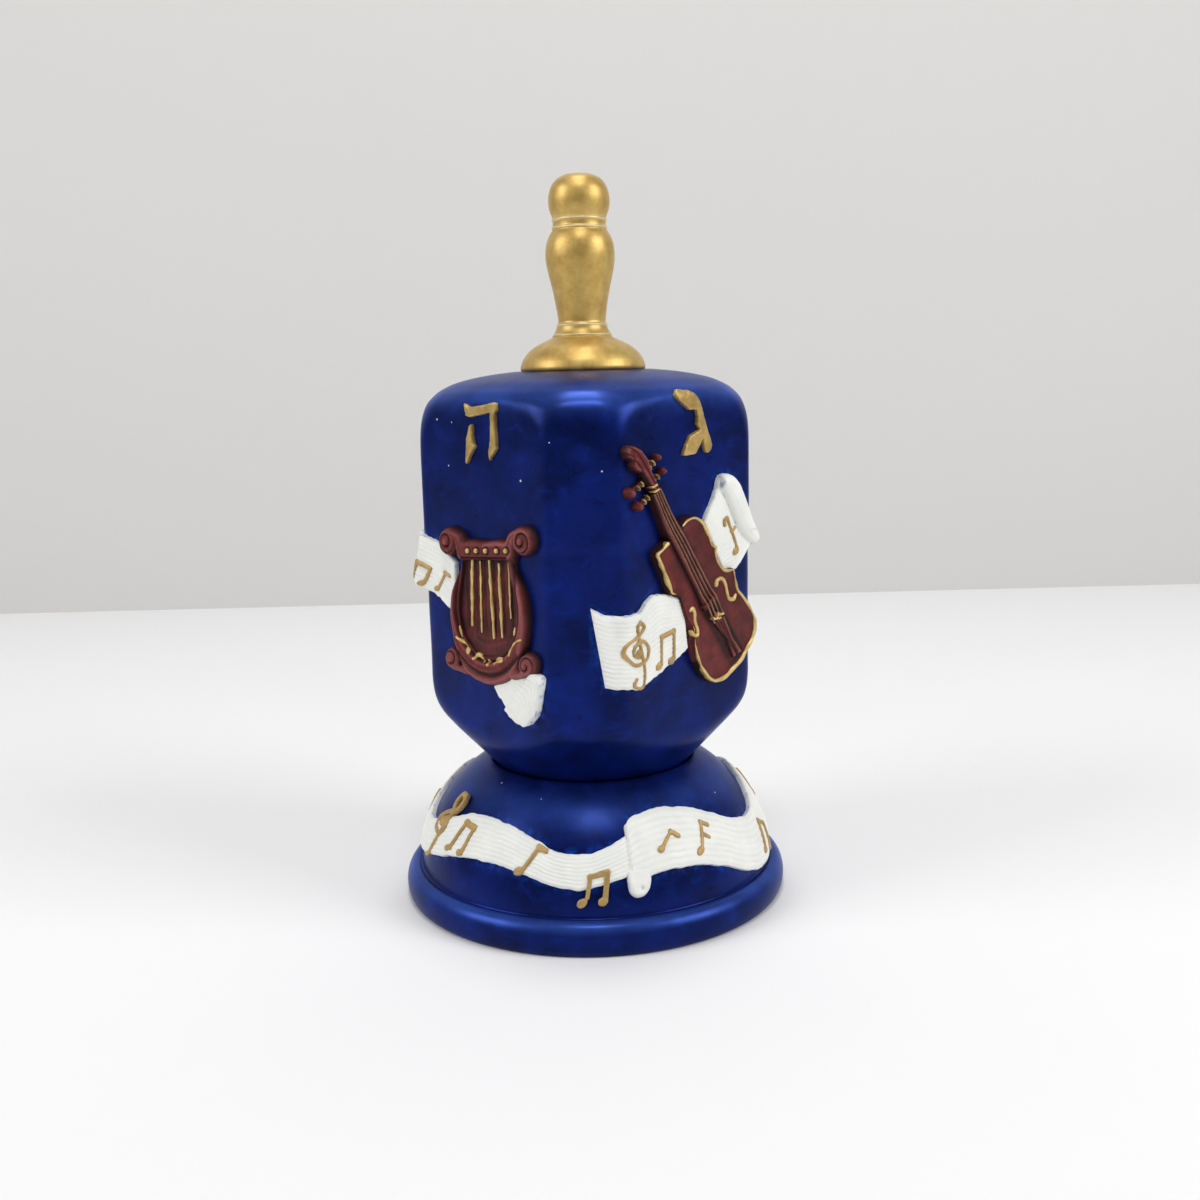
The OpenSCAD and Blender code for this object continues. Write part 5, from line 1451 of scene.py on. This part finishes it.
# Horn on the third side and drum on the fourth
HORN_AT = (0.0, 51.81)
HORN_LEAN = math.radians(35)
HORN_GAP = 5.2
HORN_STRAIGHT = 6
TUBE_R = 0.9
BELL_FROM = 5.6
BELL_TO = 15.0
BELL_LIP = 14.3
BELL_WIDTHS = ([5.6, 8, 10.5, 12.5, 13.8, 14.6, 15.0], [0.85, 0.9, 1.15, 1.7, 2.5, 3.4, 3.95])
VALVE_PITCH = 2.4


def on_horn(x, y, h):
    c, s = math.cos(HORN_LEAN), math.sin(HORN_LEAN)
    return HORN_FACE(HORN_AT[0] + x * c - y * s, HORN_AT[1] + x * s + y * c, h)


def horn_tube_shape():
    x, y = grid(-16.2, 10.2, -4.4, 4.6, 0.11)
    top = HORN_GAP / 2
    loop = np.abs(np.hypot(np.maximum(np.abs(x) - HORN_STRAIGHT, 0), y) - top) - TUBE_R
    lead = stroke_field(x, y, [(-14.2, top), (0, top)], 0.85)
    cup = stroke_field(x, y, [(-15.0, top), (-14.2, top), (-13.0, top)], [1.6, 1.2, 0.8])
    d = smooth_min(smooth_min(loop, lead, 0.2), cup, 0.3)
    h = 0.2 + np.interp(x, [-14, -9], [0.5, 1.75]) * rounded(-d, 0.95) + 0.03 * ripple(400, x, y)
    # Painted highlight on the tube's top and painted shade at its edges.
    crest = np.clip(-d / 0.9, 0, 1) ** 2 * 0.7
    return relief(x, y, d, h, SUNK, on_horn, dip=0.6 * groove(-d, 0.22), crest=crest)


def horn_bell_shape():
    x, y = grid(5.0, 15.6, -7.4, 2.2, 0.1)
    wide = np.interp(x, *BELL_WIDTHS)
    d = np.maximum(np.abs(y + HORN_GAP / 2) - wide, np.maximum(BELL_FROM - x, x - BELL_TO))
    lip = groove(x - BELL_LIP, 0.22)
    h = 0.2 + 1.8 * rounded(-d, 1.0) - 0.22 * lip
    # Painted shade in the lip's groove and at the edges; painted highlight on the lip.
    dip = np.clip(0.6 * lip + 0.5 * groove(-d, 0.2), 0, 1)
    return relief(x, y, d, h, SUNK, on_horn, dip=dip, crest=0.6 * groove(x - 14.75, 0.2))


def horn_valves_shape():
    made = []
    for n in (-1, 0, 1):
        middle = n * VALVE_PITCH
        x, y = grid(middle - 1.4, middle + 1.4, -5, 6.2, 0.09)
        can = np.maximum(np.abs(x - middle) - 0.85, np.abs(y) - 4.4)
        stem = stroke_field(x, y, [(middle, 4.2), (middle, 5.1)], 0.42)
        d = np.minimum(can, stem)
        rings = sum(groove(y - at, 0.14) for at in (-3.4, -2.6, 2.6, 3.4))
        made.append(relief(x, y, d, 0.3 + 1.85 * rounded(-d, 0.8) - 0.18 * rings, SUNK, on_horn))
    return joined(made)


DRUM_AT = 51.81
DRUM_W = 17.0
DRUM_H = 16.0
DRUM_BOW = 1.6
HOOP_HALF = 0.9
STICK_LEAN = 14


def on_drum(x, y, h):
    return DRUM_FACE(x, y + DRUM_AT, h)


def drum_bow(x):
    return DRUM_BOW * (1 - (2 * x / DRUM_W) ** 2)


def bowed(x, y):
    """Height above the drum's middle, measured along its bowed ends."""
    return y + drum_bow(x)


def drum_rise(x):
    return 0.55 + 1.65 * np.sqrt(np.maximum(1 - (2 * x / (DRUM_W + 0.6)) ** 2, 0.0))


def drum_shell_shape():
    x, y = grid(-9.2, 9.2, -10.2, 8.6, 0.12)
    y0 = bowed(x, y)
    d = np.maximum(np.abs(x) - DRUM_W / 2, np.abs(y0) - DRUM_H / 2)
    planks = groove((x + 20) % 1.7 - 0.85, 0.12)
    h = drum_rise(x) * (0.4 + 0.6 * rounded(-d, 0.4)) - 0.1 * planks + 0.03 * ripple(420, x, y)
    # Darker in the plank joints; painted shade along the hoops' inner edges.
    dip = np.clip(0.6 * planks + 0.4 * groove(np.abs(y0) - 6.1, 0.3), 0, 1)
    return relief(x, y, d, h, SUNK, on_drum, dip=dip, crest=0)


def drum_hoops_shape():
    made = []
    for middle in (-DRUM_H / 2 + HOOP_HALF, DRUM_H / 2 - HOOP_HALF):
        x, y = grid(-9.2, 9.2, middle - 3.2, middle + 1.6, 0.1)
        off = bowed(x, y) - middle
        d = np.maximum(np.abs(x) - DRUM_W / 2, np.abs(off) - HOOP_HALF) + 0.05 * ripple(430, x, y)
        h = drum_rise(x) - 0.1 + 0.34 * rounded(-d, 0.4) - 0.1 * groove(off, 0.15)
        made.append(relief(x, y, d, h, 0.3, on_drum))
    return joined(made)


def drum_cords():
    top, low = DRUM_H / 2 - 1.9, -DRUM_H / 2 + 1.9
    corners = [(-DRUM_W / 2 + 0.5 + i * (DRUM_W - 1) / 8, low if i % 2 == 0 else top) for i in range(9)]
    line = resample(corners, 160)
    x, y0 = line.T
    path = on_drum(x, y0 - drum_bow(x), drum_rise(x) + 0.08)
    grown("gold_drum_cords", CORDS, [path], [0.27 + 0.05 * ripple(440, x)], TRIM_GOLD, ["drum_cords"])


def drum_sticks_shape():
    middle = DRUM_H / 2 + 3.4
    strokes = []
    for sign in (-1, 1):
        lean = math.radians(STICK_LEAN * sign)
        reach = sign * np.array([-7.5, 5.6, 6.6, 7.6])
        points = np.stack([reach * math.cos(lean), middle + reach * math.sin(lean)], 1)
        strokes.append((points, [0.55, 0.42, 0.5, 0.95]))
    return strokes_shape(strokes, on_drum, (0.25, 1.0), SUNK, seed=450, soft=0.6)


add_piece("painted_horn_tube", horn_tube_shape(), MAROON)
add_piece("painted_horn_bell", horn_bell_shape(), MAROON)
add_piece("painted_horn_valves", horn_valves_shape(), TRIM_GOLD)
add_piece("painted_drum_shell", drum_shell_shape(), MAROON)
add_piece("painted_drum_hoops", drum_hoops_shape(), TRIM_GOLD)
add_piece("painted_drum_sticks", drum_sticks_shape(), MAROON)
drum_cords()


# Ribbon and notes round the stand
def stand_ribbon_shape():
    low, top = band_edges()
    width = top[:, 1] - low[:, 1]

    def heights(t, v, edge, p):
        along = p[..., 0]
        h, cut = ribbon_rise(v, along, width, edge, 1.0, 501)
        start = np.clip((LAP_OVER_TO - along / DEGREE_MM) / 3, 0, 1)
        end = np.clip((along / DEGREE_MM - LAP_UNDER_FROM) / 3, 0, 1)
        return h + 0.4 * start - 0.25 * end, cut

    band = strip(low, top, heights, on_dome, rows=88)
    x, z = grid(8.6 * DEGREE_MM, 18 * DEGREE_MM, 7, 12, 0.1)
    d = polygon_field(x, z, spline(dome_points(BAND_TAB), 5, closed=True))
    # The rolled hole is also painted darker, as painted shade.
    hole = groove(np.hypot((x - TAB_HOLE[0] * DEGREE_MM) / 1.2, z - TAB_HOLE[1]), 0.3)
    tab = relief(x, z, d, 0.3 + 1.0 * rounded(-d, 0.7) - 0.5 * hole, STRIP_FOOT, on_dome, dip=hole)
    return band + tab


def dome_points(points):
    return [(a * DEGREE_MM, z) for a, z in points]


def dome_note(strokes, heads):
    lines = [(dome_points(p), w) for p, w in strokes]
    return lines, [(*dome_points([centre]), rx, ry, turn) for centre, rx, ry, turn in heads]


FRONT_NOTES = [([([(-60, 18.2), (-62.5, 18.3), (-63.5, 17.2), (-61.5, 16.0), (-62, 14.5), (-63.8, 12.6),
                   (-65, 11), (-67, 9.2), (-68.8, 8.8)],
                  0.34),
                 ([(-60, 18.2), (-58.8, 17.4), (-60.5, 16.2), (-64.5, 15.6), (-68.5, 14.4), (-68, 13),
                   (-64, 12.6), (-61.5, 13.6), (-62.5, 15), (-65.5, 14.4)],
                  0.34)],
                [((-65.2, 14.2), 0.9, 0.7, 0)]),
               ([([(-54, 11.8), (-50.5, 15.6)], 0.34),
                 ([(-47.6, 11.8), (-45.6, 15.2)], 0.34),
                 ([(-50.8, 15.6), (-45.4, 15.3)], 0.42)],
                [((-55.6, 11.6), 0.68, 0.46, 20), ((-48.8, 11.7), 0.6, 0.46, 20)]),
               ([([(-23, 11.4), (-18.4, 14.6)], 0.32), ([(-18.6, 14.6), (-16, 14.2)], 0.4)],
                [((-24, 11.3), 0.8, 0.58, 20)]),
               ([([(-2.6, 8.4), (-1.6, 11.2)], 0.3),
                 ([(2.6, 8.2), (3.6, 11.6)], 0.38),
                 ([(-1.8, 11.1), (3.8, 11.7)], 0.36)],
                [((-4.2, 7.6), 0.78, 0.56, 35), ((1.9, 7.8), 0.74, 0.56, 30)]),
               ([([(22.2, 14.0), (26.4, 15.7)], 0.24), ([(26.4, 15.7), (29, 15.0)], 0.32)],
                [((21.6, 13.8), 0.62, 0.46, 20)]),
               ([([(36.2, 12.6), (39.6, 15.9)], 0.28),
                 ([(39.4, 15.9), (42, 15.3)], 0.3),
                 ([(38.4, 14.5), (40.6, 13.8)], 0.26)],
                [((35.4, 12.5), 0.8, 0.5, 25)]),
               ([([(70, 8.2), (72, 12.1)], 0.3),
                 ([(72, 12.1), (77, 10.8)], 0.32),
                 ([(77, 10.9), (76.6, 7.4)], 0.3)],
                [((69.6, 7.8), 0.64, 0.5, 20), ((76, 7.2), 0.6, 0.46, 20)])]
BACK_NOTES = [("quaver", 98), ("clef", 122), ("pair", 146), ("double", 170), ("quaver", 192), ("pair", 216),
              ("clef", 238), ("quaver", 262)]


def back_notes():
    """Notes on the far half of the stand, on the ribbon's middle line."""
    made = []
    for kind, a in BACK_NOTES:
        low, top = (np.interp(a, *np.transpose(edge)) for edge in (BAND_LOW, BAND_TOP))
        x, z = a * DEGREE_MM, (low + top) / 2
        if kind == "clef":
            made.append((clef_strokes(x, z, 1.15, 0.22), [((x, z), 0.35, 0.35, 0)]))
        else:
            made.append(flat_note(kind, x, z - 2, 4.2))
    return made


add_piece("painted_stand_ribbon", stand_ribbon_shape(), WHITE, "stand")
notes_piece("stand_notes", [dome_note(*n) for n in FRONT_NOTES] + back_notes(), on_dome, "stand")


# Camera, stage and light
CAMERA_AZIMUTH = math.radians(46)
CAMERA_DISTANCE = 210
CAMERA_HEIGHT = 85.5
CAMERA_PITCH = math.radians(10.15)
CAMERA_YAW = math.radians(0.5)
CAMERA_ROLL = math.radians(1.35)
CAMERA_LENS = 39.0
SENSOR_WIDTH = 36.0
NEAR_CLIP = 0.01
WALL_BEHIND = 270
WALL_HEIGHT = 1500
SHEET_REACH = 3000
TABLE_COLOUR = srgb(242, 242, 243)
WALL_COLOUR = srgb(216, 215, 213)
ROOM_LIGHT = 0.21
LAMP_DISTANCE = 600
LAMP_AIM_Z = 60
LAMPS = [("overhead", 180, 84, 110, 0.75),
         ("front_high", 0, 65, 140, 0.85),
         ("left_window", -70, 30, 280, 1.35),
         ("right_window", 66, 30, 280, 1.65)]


def turned_pair(a, b, angle):
    """Two directions, turned by an angle in their plane."""
    c, s = math.cos(angle), math.sin(angle)
    return a * c - b * s, a * s + b * c


def camera_axes():
    """The camera's right, top and look directions."""
    right, ahead = turned_pair(np.array([math.cos(CAMERA_AZIMUTH), math.sin(CAMERA_AZIMUTH), 0]),
                               np.array([-math.sin(CAMERA_AZIMUTH), math.cos(CAMERA_AZIMUTH), 0]), CAMERA_YAW)
    look, top = turned_pair(ahead, np.array([0, 0, 1.0]), CAMERA_PITCH)
    right, top = turned_pair(right, top, CAMERA_ROLL)
    return right, top, look


def placed(obj, right, top, back, at):
    """Turns a camera or a lamp to its axes, moves it to a point in millimetres and adds it to the scene."""
    rows = [[right[i], top[i], back[i], at[i] * MM] for i in range(3)]
    obj.matrix_world = Matrix(rows + [[0, 0, 0, 1]])
    bpy.context.scene.collection.objects.link(obj)


def add_camera():
    right, top, look = camera_axes()
    data = bpy.data.cameras.new("view")
    data.lens = CAMERA_LENS
    data.sensor_width = SENSOR_WIDTH
    data.clip_start = NEAR_CLIP
    camera = bpy.data.objects.new("view", data)
    x = CAMERA_DISTANCE * math.sin(CAMERA_AZIMUTH)
    y = -CAMERA_DISTANCE * math.cos(CAMERA_AZIMUTH)
    placed(camera, right, top, -look, (x, y, CAMERA_HEIGHT))
    bpy.context.scene.camera = camera


def plain_sheet(name, corners, colour):
    mesh = bpy.data.meshes.new(name)
    mesh.from_pydata([tuple(c * MM for c in p) for p in corners], [], [(0, 1, 2, 3)])
    obj = bpy.data.objects.new(name, mesh)
    bpy.context.scene.collection.objects.link(obj)
    f = Finish(name)
    f.shade(Base_Color=colour, Roughness=0.9, Specular_IOR_Level=0.1)
    mesh.materials.append(f.material)


def add_stage():
    far = SHEET_REACH
    plain_sheet("table", [(-far, -far, 0), (far, -far, 0), (far, far, 0), (-far, far, 0)], TABLE_COLOUR)
    right = np.array([math.cos(CAMERA_AZIMUTH), math.sin(CAMERA_AZIMUTH), 0]) * SHEET_REACH
    back = np.array([-math.sin(CAMERA_AZIMUTH), math.cos(CAMERA_AZIMUTH), 0]) * WALL_BEHIND
    up = np.array([0, 0, WALL_HEIGHT])
    plain_sheet("wall", [back - right, back + right, back + right + up, back - right + up], WALL_COLOUR)


def add_lamp(name, turn, lift, size, watts):
    """A square soft light, turned from the camera's bearing and lifted above the table."""
    a = CAMERA_AZIMUTH + math.radians(turn)
    e = math.radians(lift)
    out = np.array([math.sin(a) * math.cos(e), -math.cos(a) * math.cos(e), math.sin(e)])
    data = bpy.data.lights.new(name, "AREA")
    data.shape = "SQUARE"
    data.size = size * MM
    data.energy = watts
    side = np.cross([0, 0, 1.0], out)
    side /= np.linalg.norm(side)
    at = out * LAMP_DISTANCE + np.array([0, 0, LAMP_AIM_Z])
    placed(bpy.data.objects.new(name, data), side, np.cross(out, side), out, at)


def add_light():
    world = bpy.data.worlds.new("soft_room")
    world.use_nodes = True
    background = world.node_tree.nodes["Background"]
    background.inputs["Color"].default_value = (1, 1, 1, 1)
    background.inputs["Strength"].default_value = ROOM_LIGHT
    bpy.context.scene.world = world
    for lamp in LAMPS:
        add_lamp(*lamp)


add_camera()
add_stage()
add_light()
bpy.context.scene.view_settings.view_transform = "Standard"
